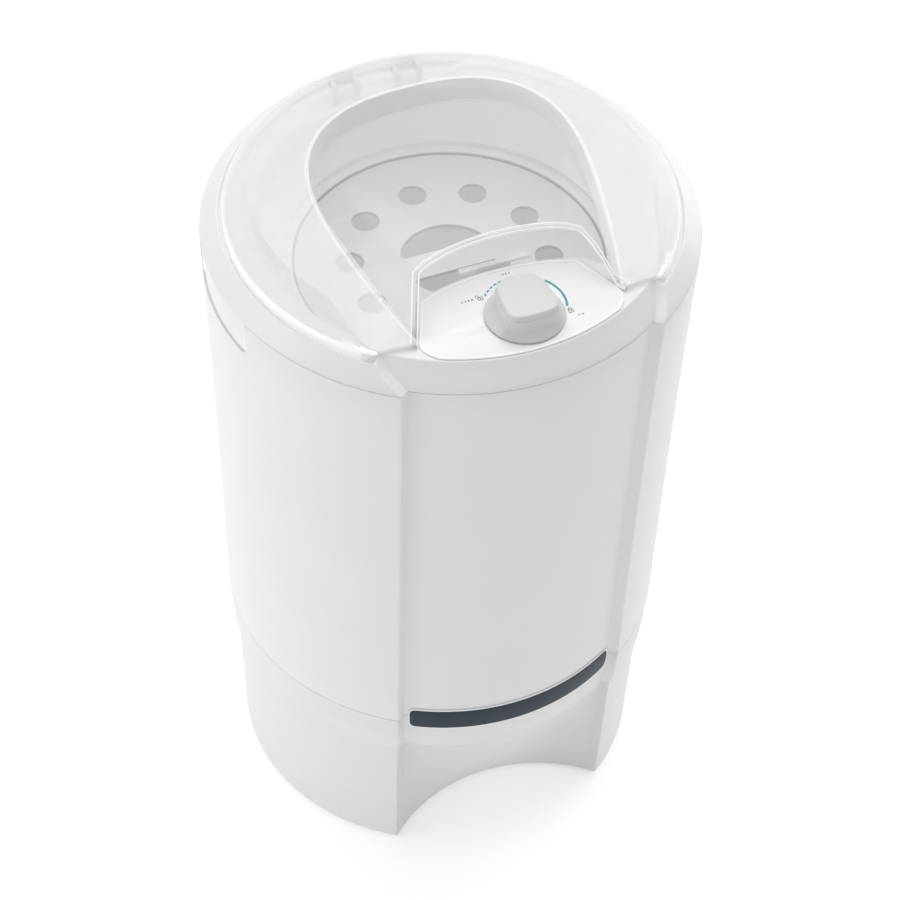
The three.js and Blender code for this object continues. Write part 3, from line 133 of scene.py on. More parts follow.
# %% Studio
ROOM_BRIGHTNESS = 0.46

scene = bpy.context.scene
scene.view_settings.view_transform = "Standard"
world = bpy.data.worlds.new("white_room")
world.use_nodes = True
world.node_tree.nodes["Background"].inputs["Color"].default_value = (1.0, 1.0, 1.0, 1.0)
world.node_tree.nodes["Background"].inputs["Strength"].default_value = ROOM_BRIGHTNESS
scene.world = world


def softbox(name, place, target, size, power):
    """A wide soft light that looks at its target."""
    data = bpy.data.lights.new(name, "AREA")
    data.shape = "RECTANGLE"
    data.size, data.size_y = size
    data.energy = power
    lamp = bpy.data.objects.new(name, data)
    scene.collection.objects.link(lamp)
    lamp.location = place
    lamp.rotation_euler = (Vector(target) - Vector(place)).to_track_quat("-Z", "Y").to_euler()


softbox("light_above", (0.2, 0.6, 2.8), (0, 0, 0.6), (2.4, 2.0), 34)
softbox("light_left", (-2.3, 0.3, 1.1), (0, 0, 0.4), (1.2, 2.2), 12.5)
softbox("light_right", (2.2, 0.9, 1.2), (0, 0, 0.4), (1.2, 2.2), 12)
softbox("light_front", (-0.8, -2.6, 1.4), (0, 0, 0.3), (1.6, 1.2), 2.5)

# %% [markdown]
# ## Finishes
# Every finish is built from noise that is fixed to the object, never to the camera. Moulded plastic is
# the main one: a fine spark-eroded grain that only breaks up the gloss, and a slow change of tone that
# keeps a large white wall from looking like paper. Thin white plastic does let some light through, but
# the little glow that some finishes get is painted light: it brightens parts that lie in shade.

# %% Helpers for finishes
def new_finish(name):
    """A material with its nodes, links, shader and place on the object."""
    finish = bpy.data.materials.new(name)
    finish.use_nodes = True
    nodes = finish.node_tree.nodes
    shader = nodes["Principled BSDF"]
    place = nodes.new("ShaderNodeTexCoord")
    return finish, nodes, finish.node_tree.links, shader, place


def noise(nodes, links, vector, scale, detail=2.0):
    """Clouds between 0 and 1."""
    texture = nodes.new("ShaderNodeTexNoise")
    texture.inputs["Scale"].default_value = scale
    texture.inputs["Detail"].default_value = detail
    links.new(vector, texture.inputs["Vector"])
    return texture.outputs["Fac"]


def between(nodes, links, value, low, high):
    """The value, spread from its usual 0.3 to 0.7 over low to high."""
    spread = nodes.new("ShaderNodeMapRange")
    spread.inputs["From Min"].default_value = 0.3
    spread.inputs["From Max"].default_value = 0.7
    spread.inputs["To Min"].default_value = low
    spread.inputs["To Max"].default_value = high
    links.new(value, spread.inputs["Value"])
    return spread.outputs["Result"]


def two_tones(nodes, links, value, first, second):
    """A soft change of colour with the value."""
    ramp = nodes.new("ShaderNodeValToRGB")
    ramp.color_ramp.elements[0].position = 0.35
    ramp.color_ramp.elements[0].color = (*first, 1.0)
    ramp.color_ramp.elements[1].position = 0.65
    ramp.color_ramp.elements[1].color = (*second, 1.0)
    links.new(value, ramp.inputs["Fac"])
    return ramp.outputs["Color"]


def raised(nodes, links, value, shader, strength, distance):
    """A fine relief on the surface."""
    bump = nodes.new("ShaderNodeBump")
    bump.inputs["Strength"].default_value = strength
    bump.inputs["Distance"].default_value = distance
    links.new(value, bump.inputs["Height"])
    links.new(bump.outputs["Normal"], shader.inputs["Normal"])


def moulded(name, color, roughness, grain=1400.0, depth=0.00003, tone=0.985, glow=0.0):
    """Moulded plastic or dry ink; the tone is how dark its slow clouds get."""
    finish, nodes, links, shader, place = new_finish(name)
    here = place.outputs["Object"]
    darker = tuple(c * tone for c in color)
    cloud = noise(nodes, links, here, 9.0)
    links.new(two_tones(nodes, links, cloud, darker, color), shader.inputs["Base Color"])
    fine = noise(nodes, links, here, grain, 3.0)
    links.new(between(nodes, links, fine, roughness - 0.04, roughness + 0.04), shader.inputs["Roughness"])
    raised(nodes, links, fine, shader, 0.25, depth)
    shader.inputs["Emission Color"].default_value = (1.0, 1.0, 1.0, 1.0)
    shader.inputs["Emission Strength"].default_value = glow
    return finish


# %% White, grey and dark plastics
white_wall = moulded("white_wall", (0.80, 0.80, 0.81), 0.38)
white_base = moulded("white_base", (0.775, 0.775, 0.785), 0.38)
# Painted shade: the scallop's faces get a darker white, because the leaning wall lies in shade over the
# floor.
recess_painted_shade = moulded("recess_painted_shade", (0.69, 0.69, 0.70), 0.42)
white_collar = moulded("white_collar", (0.83, 0.83, 0.84), 0.32)
# The funnel's glow is painted light: it brightens the funnel where the lid shades it.
funnel_painted_glow = moulded("funnel_painted_glow", (0.84, 0.84, 0.845), 0.40, glow=0.08)
# The insert's glow is painted light: it lifts the grips, the strip's edging and the film's border.
insert_painted_glow = moulded("insert_painted_glow", (0.88, 0.88, 0.89), 0.36, glow=0.08)
inner_white = moulded("inner_white", (0.80, 0.80, 0.81), 0.42)
# The basket's glow is painted light: it brightens the basket seen through the disc's holes.
basket_painted_glow = moulded("basket_painted_glow", (0.80, 0.80, 0.81), 0.45, glow=0.13)
# The tub's strong glow is painted light: it brightens the tub seen through narrow shaded gaps.
tub_painted_glow = moulded("tub_painted_glow", (0.82, 0.82, 0.83), 0.45, glow=0.35)
disc_white = moulded("disc_white", (0.735, 0.735, 0.745), 0.40)
knob_white = moulded("knob_white", (0.68, 0.68, 0.68), 0.30)
label_white = moulded("label_white", (0.88, 0.88, 0.885), 0.26, grain=2600.0, depth=0.00001)
slate_film = moulded("slate_film", (0.036, 0.050, 0.066), 0.36, grain=2600.0, depth=0.00001, tone=0.94)
slate_shader = slate_film.node_tree.nodes["Principled BSDF"]
slate_shader.inputs["Specular IOR Level"].default_value = 0.12
dark_moulding = moulded("dark_moulding", (0.028, 0.030, 0.033), 0.55, tone=0.85)
teal_ink = moulded("teal_ink", (0.045, 0.33, 0.37), 0.30, grain=2600.0, depth=0.00001)
black_ink = moulded("black_ink", (0.02, 0.02, 0.02), 0.32, grain=2600.0, depth=0.00001)
print("plastics:", len(bpy.data.materials))

# %% [markdown]
# The lid is one moulding of clear plastic. Its crown is polished and lets the disc show through;
# outside the raised crest the tool was blasted, so the same plastic looks like ground glass. A thin
# clear wall is best made from a partly see-through surface with a sharp gloss: real refraction would
# only add noise at this thickness.

# %% Clear and frosted plastic
def see_through(name, color, alpha, roughness, grain, depth, glow=0.0):
    """Clear plastic; the alpha is how much of it hides what lies behind."""
    finish, nodes, links, shader, place = new_finish(name)
    here = place.outputs["Object"]
    fine = noise(nodes, links, here, grain, 3.0)
    slow = noise(nodes, links, here, 14.0)
    shader.inputs["Base Color"].default_value = (*color, 1.0)
    links.new(between(nodes, links, slow, alpha * 0.93, alpha * 1.07), shader.inputs["Alpha"])
    links.new(between(nodes, links, fine, roughness * 0.8, roughness * 1.2), shader.inputs["Roughness"])
    raised(nodes, links, fine, shader, 0.2, depth)
    shader.inputs["Specular IOR Level"].default_value = 0.8
    shader.inputs["Emission Color"].default_value = (1.0, 1.0, 1.0, 1.0)
    shader.inputs["Emission Strength"].default_value = glow
    return finish


lid_clear = see_through("lid_clear", (0.97, 0.97, 0.975), 0.10, 0.06, 500.0, 0.000005)
lid_frosted = see_through("lid_frosted", (0.95, 0.95, 0.955), 0.36, 0.34, 1500.0, 0.00003)
lid_edge = see_through("lid_edge", (0.98, 0.98, 0.985), 0.52, 0.12, 500.0, 0.000005)
# The rim's glow is painted light: it brightens the rim's face where the collar's lip shades it.
lid_rim_painted_glow = see_through("lid_rim_painted_glow", (0.96, 0.96, 0.965), 0.82, 0.30, 900.0, 0.00001, glow=0.16)

# %% [markdown]
# Inside there is metal, rubber and lining. Turned and rolled metal has streaks that run with the tool,
# cast metal has a grainy skin, and the winding shows its wires as fine ribs.

# %% Metals, rubber and lining
def streaked(name, color, roughness, stretch, scale=60.0):
    """Metal with fine streaks; the stretch squeezes the noise along each axis."""
    finish, nodes, links, shader, place = new_finish(name)
    mapping = nodes.new("ShaderNodeMapping")
    mapping.inputs["Scale"].default_value = stretch
    links.new(place.outputs["Object"], mapping.inputs["Vector"])
    streaks = noise(nodes, links, mapping.outputs["Vector"], scale, 4.0)
    darker = tuple(c * 0.86 for c in color)
    links.new(two_tones(nodes, links, streaks, darker, color), shader.inputs["Base Color"])
    gloss = between(nodes, links, streaks, roughness - 0.07, roughness + 0.07)
    links.new(gloss, shader.inputs["Roughness"])
    raised(nodes, links, streaks, shader, 0.15, 0.00005)
    shader.inputs["Metallic"].default_value = 1.0
    return finish


def grainy(name, color, roughness, metallic, scale, depth):
    """A coarse skin: cast metal, rubber or lining."""
    finish, nodes, links, shader, place = new_finish(name)
    here = place.outputs["Object"]
    coarse = noise(nodes, links, here, scale, 5.0)
    darker = tuple(c * 0.78 for c in color)
    links.new(two_tones(nodes, links, coarse, darker, color), shader.inputs["Base Color"])
    links.new(between(nodes, links, coarse, roughness - 0.08, roughness + 0.08), shader.inputs["Roughness"])
    raised(nodes, links, coarse, shader, 0.4, depth)
    shader.inputs["Metallic"].default_value = metallic
    return finish


rolled_steel = streaked("rolled_steel", (0.62, 0.63, 0.64), 0.30, (1.0, 1.0, 30.0))
turned_steel = streaked("turned_steel", (0.58, 0.59, 0.60), 0.26, (1.0, 1.0, 60.0))
cast_alloy = grainy("cast_alloy", (0.50, 0.51, 0.52), 0.48, 1.0, 420.0, 0.0002)
soft_rubber = grainy("soft_rubber", (0.022, 0.022, 0.024), 0.82, 0.0, 600.0, 0.0001)
brake_lining = grainy("brake_lining", (0.13, 0.10, 0.075), 0.9, 0.0, 900.0, 0.0002)
cable_sheath = grainy("cable_sheath", (0.035, 0.038, 0.042), 0.6, 0.0, 700.0, 0.00005)
winding = streaked("winding", (0.52, 0.25, 0.12), 0.38, (40.0, 40.0, 1.0), 20.0)
print("finishes in all:", len(bpy.data.materials))

# %% [markdown]
# ## Helpers for shapes
# A moulded wall is a closed section carried round the drum. Each helper works on plain lists of points:
# one rounds a section's corners, one skins a run of sections, and one turns the result into an object
# that rides on a body.

# %% Helpers for shapes
def rounded(section, radius, steps=3):
    """A closed section with a small curve at every corner; a point's place is its first two numbers."""
    points = []
    count = len(section)
    for i, corner in enumerate(section):
        before, after = section[i - 1], section[(i + 1) % count]
        back = math.dist(before[:2], corner[:2])
        ahead = math.dist(after[:2], corner[:2])
        start = lerp(corner, before, min(radius, back * 0.4) / max(back, 1e-9))
        end = lerp(corner, after, min(radius, ahead * 0.4) / max(ahead, 1e-9))
        for k in range(steps + 1):
            t = k / steps
            points.append(lerp(lerp(start, corner, t), lerp(corner, end, t), t))
    return points


def skin(sections, around_drum=True):
    """Points and faces of a skin over closed sections, with flat ends if it doesn't close on itself."""
    count = len(sections[0])
    points = [p for section in sections for p in section]
    faces = []
    spans = len(sections) if around_drum else len(sections) - 1
    for s in range(spans):
        here = s * count
        there = ((s + 1) % len(sections)) * count
        for i in range(count):
            j = (i + 1) % count
            faces.append((here + i, here + j, there + j, there + i))
    if not around_drum:
        faces.append(tuple(reversed(range(count))))
        faces.append(tuple(range(len(points) - count, len(points))))
    return points, faces


def linked(name, mesh):
    """The mesh as an object in the scene."""
    piece = bpy.data.objects.new(name, mesh)
    scene.collection.objects.link(piece)
    return piece


def solid(name, points, faces, sharp=40):
    """A clean mesh object from millimetre points: doubles merged, faces out, smooth but for sharp edges."""
    mesh = bpy.data.meshes.new(name)
    mesh.from_pydata([placed(p) for p in points], [], faces)
    work = bmesh.new()
    work.from_mesh(mesh)
    bmesh.ops.remove_doubles(work, verts=work.verts, dist=0.000005)
    bmesh.ops.dissolve_degenerate(work, dist=0.000002, edges=work.edges)
    bmesh.ops.delete(work, geom=[e for e in work.edges if not e.link_faces], context="EDGES")
    bmesh.ops.recalc_face_normals(work, faces=work.faces)
    work.to_mesh(mesh)
    work.free()
    mesh.shade_smooth()
    mesh.set_sharp_from_angle(angle=math.radians(sharp))
    return linked(name, mesh)


def finished(piece, finish, body, nodes=()):
    """Gives a piece its finish, the body it rides on and the solids it stands for."""
    piece.data.materials.clear()
    piece.data.materials.append(finish)
    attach(piece, body)
    if nodes:
        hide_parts(*nodes)
    print(f"{piece.name}: {len(piece.data.vertices)} points on {body}")


def lathe(name, section, steps=120, sharp=40):
    """A solid of revolution about the drum's axis, from a closed (radius, height) section."""
    turns = [360 * s / steps for s in range(steps)]
    return solid(name, *skin([[around(turn, r, z) for r, z in section] for turn in turns]), sharp)


def carved(piece, cutters, operation="DIFFERENCE"):
    """The piece with the cutters taken out, or kept, as real geometry."""
    for cutter in cutters:
        step = piece.modifiers.new("carve", "BOOLEAN")
        step.operation = operation
        step.solver = "MANIFOLD"
        step.object = cutter
    bpy.context.view_layer.update()
    made = bpy.data.meshes.new_from_object(piece.evaluated_get(bpy.context.evaluated_depsgraph_get()))
    piece.modifiers.clear()
    piece.data = made
    made.name = piece.name
    for cutter in cutters:
        bpy.data.objects.remove(cutter)
    return piece


# %% [markdown]
# ## Casing
# The casing is a barrel: a base, a tall body wall and a collar. A panel of its front is set back by a
# few millimetres, and that panel runs through all three mouldings, so all three are built on the same
# columns. Columns stand close together over the panel's side steps and wide apart elsewhere.

# %% Columns round the casing
PANEL_HALF = 32.5          # degrees each way
PANEL_RECESS = 9.0
STEP_HALF = 0.75           # half the width of the panel's side step, in degrees


def casing_columns():
    """The columns' angles, from the back round the front to the back again."""
    half = [PANEL_HALF * k / 12 for k in range(1, 12)]
    half += [PANEL_HALF + STEP_HALF * k / 4 for k in range(-5, 6)]
    first = PANEL_HALF + STEP_HALF * 5 / 4
    half += [blend(first, 180, k / 50) for k in range(1, 50)]
    return [-a for a in reversed(half)] + [0.0] + half + [180.0]


def inset(column):
    """How far the panel stands back at a column: a soft step at its edges."""
    share = (PANEL_HALF + STEP_HALF - abs(column)) / (2 * STEP_HALF)
    return PANEL_RECESS * smooth(share)


def slid(column, edge):
    """The column moved with the panel's edge, for creases that lean."""
    size = abs(column)
    if size <= PANEL_HALF:
        return column * edge / PANEL_HALF
    share = (size - PANEL_HALF) / (180 - PANEL_HALF)
    return math.copysign(blend(edge, 180, share), column)


print("columns:", len(casing_columns()))

# %% [markdown]
# ### Body wall
# The body wall is a plain tall skin, a little waisted. The hand grips are windows cut out of its upper
# edge, with rounded lower corners. A Boolean cut is used because the window is the one place where the
# wall isn't a skin.

# %% Body wall
SEAM_HEIGHT = 218.0
SEAM_RADIUS = 221.0
COLLAR_FOOT = 698.0
COLLAR_RADIUS = 233.5
WALL = 2.8
WAIST = 1.2
JOINT_GAP = 0.3
GRIP_HALF = 15.0           # degrees each way
GRIP_FOOT = 657.0
GRIP_CORNER = 2.2          # degrees
ALONG_WALL = 4.0           # millimetres in a degree, on the body wall
GRIP_CUT = (205.0, 245.0)  # the cutter's nearest and furthest reach from the axis


def wall_radius(z):
    """Radius of the body wall's face, slightly waisted between its ends."""
    share = (z - SEAM_HEIGHT) / (COLLAR_FOOT - SEAM_HEIGHT)
    return blend(SEAM_RADIUS, COLLAR_RADIUS, share) - WAIST * 4 * share * (1 - share)


def body_wall():
    foot, top = SEAM_HEIGHT + JOINT_GAP, COLLAR_FOOT - JOINT_GAP
    heights = [blend(foot, top, k / 12) for k in range(13)]
    outside = [(wall_radius(z), z) for z in heights]
    inside = [(r - WALL, z) for r, z in reversed(outside)]
    soft = rounded(outside + inside, 0.7)
    sections = [[around(a, r - inset(a), z) for r, z in soft] for a in casing_columns()]
    return solid("body_wall", *skin(sections))


def grip_prism(angle, shrink=0.0):
    """The room of a hand grip's window, from inside the wall to outside it."""
    side = GRIP_HALF - shrink / ALONG_WALL
    foot = GRIP_FOOT + shrink
    tall = COLLAR_FOOT + 6 if shrink == 0 else COLLAR_FOOT - JOINT_GAP
    corner_height = GRIP_CORNER * ALONG_WALL
    outline = [(side, tall)]
    for k in range(7):
        turn = math.pi / 2 * k / 6
        at = side - GRIP_CORNER * (1 - math.cos(turn))
        outline.append((at, foot + corner_height * (1 - math.sin(turn))))
    outline += [(side - GRIP_CORNER - (side - GRIP_CORNER) * k / 6, foot) for k in range(1, 7)]
    outline += [(-a, z) for a, z in reversed(outline[:-1])]
    outline += [(blend(-side, side, k / 12), tall) for k in range(1, 12)]
    sections = [[around(angle + a, r, z) for a, z in outline] for r in GRIP_CUT]
    return solid("grip_prism", *skin(sections, around_drum=False))


wall = carved(body_wall(), [grip_prism(90), grip_prism(-90)])
wall.data.set_sharp_from_angle(angle=math.radians(40))
finished(wall, white_wall, "casing", ["outer_shell"])

# %% [markdown]
# ### Hand grips
# A grip is a separate whiter scoop behind the window. Its floor slants inwards up to the collar's edge,
# so that fingers hook under the collar. It is a shell that is kept only where the window is, which
# gives it the same rounded corners with an even gap.

# %% Hand grips
GRIP_DEPTH = 19.0
GRIP_SHELL = 2.4
GRIP_GAP = 0.6             # between the scoop's edge and the wall's outer face


def grip_scoop(name, angle):
    """The scoop's shell: a grid in front, the same behind it, and a rim."""
    rows, steps = 12, 40
    front, back = [], []
    for i in range(rows + 1):
        share = i / rows
        z = blend(GRIP_FOOT - 2, COLLAR_FOOT + 2, share)
        for k in range(steps + 1):
            at = blend(-GRIP_HALF - 1, GRIP_HALF + 1, k / steps)
            ends = smooth((GRIP_HALF - 0.4 - abs(at)) / 1.6)
            depth = GRIP_DEPTH * smooth(0.15 + 0.85 * share) * ends if share > 0 else 0.0
            front.append(around(angle + at, wall_radius(z) - GRIP_GAP - depth, z))
            back.append(around(angle + at, wall_radius(z) - GRIP_GAP - max(depth, 0.5) - GRIP_SHELL, z))
    width = steps + 1
    count = len(front)
    faces = []
    for i in range(rows):
        for k in range(steps):
            a = i * width + k
            faces.append((a, a + 1, a + width + 1, a + width))
            faces.append((count + a, count + a + width, count + a + width + 1, count + a + 1))
    rim = list(range(width))
    rim += [i * width + steps for i in range(1, rows + 1)]
    rim += [rows * width + k for k in range(steps - 1, -1, -1)]
    rim += [i * width for i in range(rows - 1, 0, -1)]
    for a, b in zip(rim, rim[1:] + rim[:1]):
        faces.append((a, count + a, count + b, b))
    return solid(name, front + back, faces)


for side, angle in (("left", -90), ("right", 90)):
    scoop = carved(grip_scoop(f"grip_scoop_{side}", angle), [grip_prism(angle, 0.5)], "INTERSECT")
    scoop.data.set_sharp_from_angle(angle=math.radians(50))
    # The scoop's finish glows a little: painted light in the grip's shade.
    finished(scoop, insert_painted_glow, "casing", [f"grip_cup_{side}"])

# %% [markdown]
# ### Base
# The base has a slanted band at the top, a skirt that stands in a few millimetres below it, and a
# scallop in front: the skirt's front wall is hollow at the floor and comes forward as it rises. The
# same two radii, one for the scallop's wall and one for the skirt, are blended through the panel's soft
# side step. The scallop's faces get a darker white, which is painted shade: the wall leans over the
# floor and lies in shade, and the bright floor below would light it more than a real floor does.

# %% Base
BAND_FOOT = 168.0
BAND_RADIUS = 217.5
SKIRT_FOOT = 3.0
SKIRT_RADIUS = 213.5
SKIRT_FOOT_RADIUS = 207.0
BASE_WALL = 3.0
SCALLOP_RADIUS = 170.0
SCALLOP_DEPTH = 128.0
SCALLOP_HALF = 33.6
SCALLOP_STEP = 0.9         # how far the scallop's wall ends behind the band
DECK_OPENING = 125.0
HOSE_BORE = (9.6, 60.0)    # radius and height
LEAD_BORE = (7.0, 135.0)
BORE_REACH = (185.0, 235.0)


def scallop_wall(angle, share):
    """Radius of the scallop's wall, from a round hollow at the floor to the panel's face above."""
    centre = SCALLOP_DEPTH + SCALLOP_RADIUS
    along = centre * math.cos(math.radians(angle))
    reach = max(0.0, along ** 2 - centre ** 2 + SCALLOP_RADIUS ** 2)
    foot = min(along - math.sqrt(reach), SKIRT_FOOT_RADIUS)
    return blend(foot, BAND_RADIUS - PANEL_RECESS - SCALLOP_STEP, share)


def base_section(column):
    """The base's wall at a column, from the floor up and over the deck inside."""
    mix = inset(column) / PANEL_RECESS
    outer, inner = [], []
    for k in range(15):
        share = k / 14
        z = blend(SKIRT_FOOT, BAND_FOOT - 1.5, share)
        angle = slid(column, blend(SCALLOP_HALF, PANEL_HALF, share))
        radius = blend(blend(SKIRT_FOOT_RADIUS, SKIRT_RADIUS, share), scallop_wall(angle, share), mix)
        outer.append((angle, radius, z))
        inner.append((angle, radius - BASE_WALL, z))
    back = inset(column)
    outer.append((column, BAND_RADIUS - back - 0.6, BAND_FOOT - 0.3))
    outer.append((column, BAND_RADIUS - back, BAND_FOOT + 0.6))
    outer.append((column, blend(BAND_RADIUS, SEAM_RADIUS, 0.5) - back, blend(BAND_FOOT, SEAM_HEIGHT, 0.5)))
    outer.append((column, SEAM_RADIUS - back - 0.05, SEAM_HEIGHT - 0.7))
    outer.append((column, SEAM_RADIUS - back - 0.7, SEAM_HEIGHT))
    outer.append((column, DECK_OPENING, SEAM_HEIGHT))
    outer.append((column, DECK_OPENING, SEAM_HEIGHT - BASE_WALL))
    outer.append((column, SEAM_RADIUS - back - BASE_WALL, SEAM_HEIGHT - BASE_WALL))
    outer.append((column, BAND_RADIUS - back - BASE_WALL, BAND_FOOT))
    return [around(*p) for p in outer + inner[::-1]]


def back_bore(radius, z):
    """A cutter through the back of the skirt."""
    turns = [math.radians(15 * k) for k in range(24)]
    ring = [(radius * math.cos(a), z + radius * math.sin(a)) for a in turns]
    return solid("back_bore", *skin([[(x, y, h) for x, h in ring] for y in BORE_REACH], around_drum=False))


base = solid("base_moulding", *skin([base_section(a) for a in casing_columns()]), 32)
base = carved(base, [back_bore(*HOSE_BORE), back_bore(*LEAD_BORE)])
base.data.set_sharp_from_angle(angle=math.radians(32))
finished(base, white_base, "casing", ["base_shell"])
# The darker white is painted shade for the scallop's faces below the band.
base.data.materials.append(recess_painted_shade)
for face in base.data.polygons:
    x, y, z = measured(face.center)
    in_panel = abs(math.degrees(math.atan2(x, -y))) < SCALLOP_HALF
    face.material_index = int(in_panel and z < BAND_FOOT - 1)

# %% [markdown]
# ### Collar
# The collar is the busiest moulding. Round the sides its section climbs a slope to a lip, drops into
# the groove that the lid's rim sits in, and runs down a funnel to the mouth. At the front the same
# moulding carries on as the control deck. Each section has the same number of points, so that one kind
# can be blended into the other at the panel's edge.

# %% Collar sections
LIP_HEIGHT = 715.5
GROOVE_FLOOR = 709.0
GROOVE_INNER = 186.0
GROOVE_OUTER = 214.7
COLLAR_WALL = 2.8
MOUTH_RADIUS = 157.0
MOUTH_HEIGHT = 655.5
POCKET_DROP = 7.0
POCKET_HALF = 25.5
DECK = 720.0
DECK_WALL = 2.6
DECK_FOOT = 683.0
DECK_REAR = 94.5           # from the axis to the middle of the deck's rear edge
DECK_SAG = 14.0            # how far its corners stand in front of that
DECK_HALF = 79.0
DECK_SIDE = 37.5           # degrees
CREASE_TOP = 40.5          # degrees
REAR_END = 46.0            # degrees; the rear edge's bow is followed no further
FUNNEL_OUT, FUNNEL_DOWN = 2.1, 1.6    # from the funnel's face to its back


def deck_rear(angle):
    """Distance from the axis to the deck's bowed rear edge."""
    turn = math.radians(angle)
    bend = DECK_SAG * math.sin(turn) ** 2 / DECK_HALF ** 2
    facing = math.cos(turn)
    if bend < 1e-9:
        return DECK_REAR / facing
    return (facing - math.sqrt(facing ** 2 - 4 * bend * DECK_REAR)) / (2 * bend)


def crease(share):
    """The angle of the collar's leaning crease, from its foot to its top."""
    return blend(PANEL_HALF, CREASE_TOP, share)


def collar_rows(rear, drop):
    """Rows of side radius, side height, deck radius, deck height and the crease's angle."""
    edge, foot, lip = COLLAR_RADIUS, COLLAR_FOOT, LIP_HEIGHT
    front = edge - PANEL_RECESS
    floor = GROOVE_FLOOR - drop
    funnel = GROOVE_INNER - 5
    top = GROOVE_FLOOR - 5
    under = DECK - DECK_WALL
    inner = rear + DECK_WALL
    slope = [(0.41, 0.4, 14), (0.85, 0.87, 25)]
    rows = [
        (edge, foot, front, foot, crease(0)),
        (edge - 1.2, foot + 2.5, front - 1.2, foot + 2.5, crease(0.14)),
        (edge - 6, foot + 7.5, front - 6, foot + 7.5, crease(0.43)),
        (edge - 12, foot + 13, front - 12, foot + 13.5, crease(0.75)),
        (edge - 17, lip, front - 17.5, DECK - 2.5, crease(0.95)),
        (GROOVE_OUTER + 0.8, lip - 1.1, front - 19.5, DECK, crease(1)),
        (GROOVE_OUTER, floor, front - 22, DECK, crease(1)),
        (GROOVE_INNER, floor, rear + 0.8, DECK, DECK_SIDE),
        (funnel, top, rear, DECK - 0.8, DECK_SIDE),
    ]
    for across, along, fall in slope:
        radius, height = blend(funnel, MOUTH_RADIUS, across), blend(top, MOUTH_HEIGHT, along)
        rows.append((radius, height, rear, DECK - fall, DECK_SIDE))
    rows.append((MOUTH_RADIUS, MOUTH_HEIGHT, rear, DECK_FOOT, DECK_SIDE))
    rows.append((MOUTH_RADIUS + 1.7, MOUTH_HEIGHT - 2, inner, DECK_FOOT, DECK_SIDE))
    for across, along, fall in reversed(slope):
        radius, height = blend(funnel, MOUTH_RADIUS, across), blend(top, MOUTH_HEIGHT, along)
        rows.append((radius + FUNNEL_OUT, height - FUNNEL_DOWN, inner, DECK - fall, DECK_SIDE))
    rows += [
        (funnel + 1.5, top - 2.8, inner, under - 0.6, DECK_SIDE),
        (GROOVE_INNER + 1, floor - COLLAR_WALL, inner + 0.6, under, DECK_SIDE),
        (GROOVE_OUTER + 2.4, floor - COLLAR_WALL, front - 24, under, crease(1)),
        (GROOVE_OUTER + 3, lip - 3.6, front - 21, under - 0.2, crease(1)),
        (edge - 13.9, foot + 10.9, front - 13.9, foot + 11.4, crease(0.75)),
        (edge - 8, foot + 5.5, front - 8, foot + 5.5, crease(0.43)),
        (edge - 3.9, foot + 1.5, front - 3.9, foot + 1.5, crease(0.14)),
        (edge - COLLAR_WALL, foot, front - COLLAR_WALL, foot, crease(0)),
    ]
    return rows


def collar_section(column):
    """The collar at a column: its side, its deck or a blend of both."""
    mix = inset(column) / PANEL_RECESS
    drop = POCKET_DROP * smooth((POCKET_HALF - (180 - abs(column))) / 4 + 0.5)
    angles = [slid(column, row[4]) for row in collar_rows(0.0, drop)]
    section = []
    for i, angle in enumerate(angles):
        rear = deck_rear(min(abs(angle), REAR_END))
        side_r, side_z, deck_r, deck_z, _ = collar_rows(rear, drop)[i]
        section.append((blend(side_r, deck_r, mix), blend(side_z, deck_z, mix), angle))
    return [around(angle, r, z) for r, z, angle in rounded(section, 1.6, 2)]


collar = solid("collar", *skin([collar_section(a) for a in casing_columns()]), 30)
print("collar height:", round(collar.dimensions.z / MM, 1))

# %% [markdown]
# The deck's rear wall has the slot that the latch bolt comes out of, and two pairs of ears in the
# groove carry the lid's hinge pins. The ears are goosenecks: the lid's rim passes under their arms as
# the lid opens. The funnel inside the groove is chosen by the place of its faces and gets a finish
# with painted light: a little glow that brightens it where the lid shades it.

# %% Latch slot and hinge ears
KNOB_X, KNOB_Y = 4.0, -161.0
HINGE_X, HINGE_Y, HINGE_Z = 32.0, 197.0, 718.5
KNUCKLE_HALF = 9.0
KNUCKLE_RADIUS = 5.5
EAR = 4.0
BOLT_FOOT, BOLT_TOP = 696.5, 699.5


def upright(name, outline, foot, top):
    """A block from an outline in the plan, from a foot to a flat top."""
    return solid(name, *skin([[(x, y, z) for x, y in outline] for z in (foot, top)], around_drum=False))


def bar(name, x0, x1, y0, y1, z0, z1):
    return upright(name, [(x0, y0), (x1, y0), (x1, y1), (x0, y1)], z0, z1)


def crosswise(name, outline, x0, x1):
    """A block from an outline in the side view, from left to right."""
    return solid(name, *skin([[(x, y, z) for y, z in outline] for x in (x0, x1)], around_drum=False))


def ear(name, x):
    """A gooseneck ear: a leg in the pocket, an arm to the pin and a round head."""
    back, foot = HINGE_Y - 7.5, GROOVE_FLOOR - POCKET_DROP - 1.4
    low, top = HINGE_Z - KNUCKLE_RADIUS, HINGE_Z + KNUCKLE_RADIUS
    side = [(back - 5, foot), (back, foot), (back, low + 1.2), (back + 1.2, low)]
    for k in range(13):
        turn = math.radians(-90 + 15 * k)
        side.append((HINGE_Y + KNUCKLE_RADIUS * math.cos(turn), HINGE_Z + KNUCKLE_RADIUS * math.sin(turn)))
    side += [(back - 3.6, top), (back - 5, top - 1.4)]
    return crosswise(name, side, x, x + EAR)


slot_y = (-DECK_REAR - 9, -DECK_REAR + 5)
slot = bar("latch_slot", KNOB_X - 10, KNOB_X + 10, *slot_y, BOLT_FOOT - 1, BOLT_TOP + 1)
collar = carved(collar, [slot])
collar.data.set_sharp_from_angle(angle=math.radians(30))
finished(collar, white_collar, "casing", ["top_collar"])
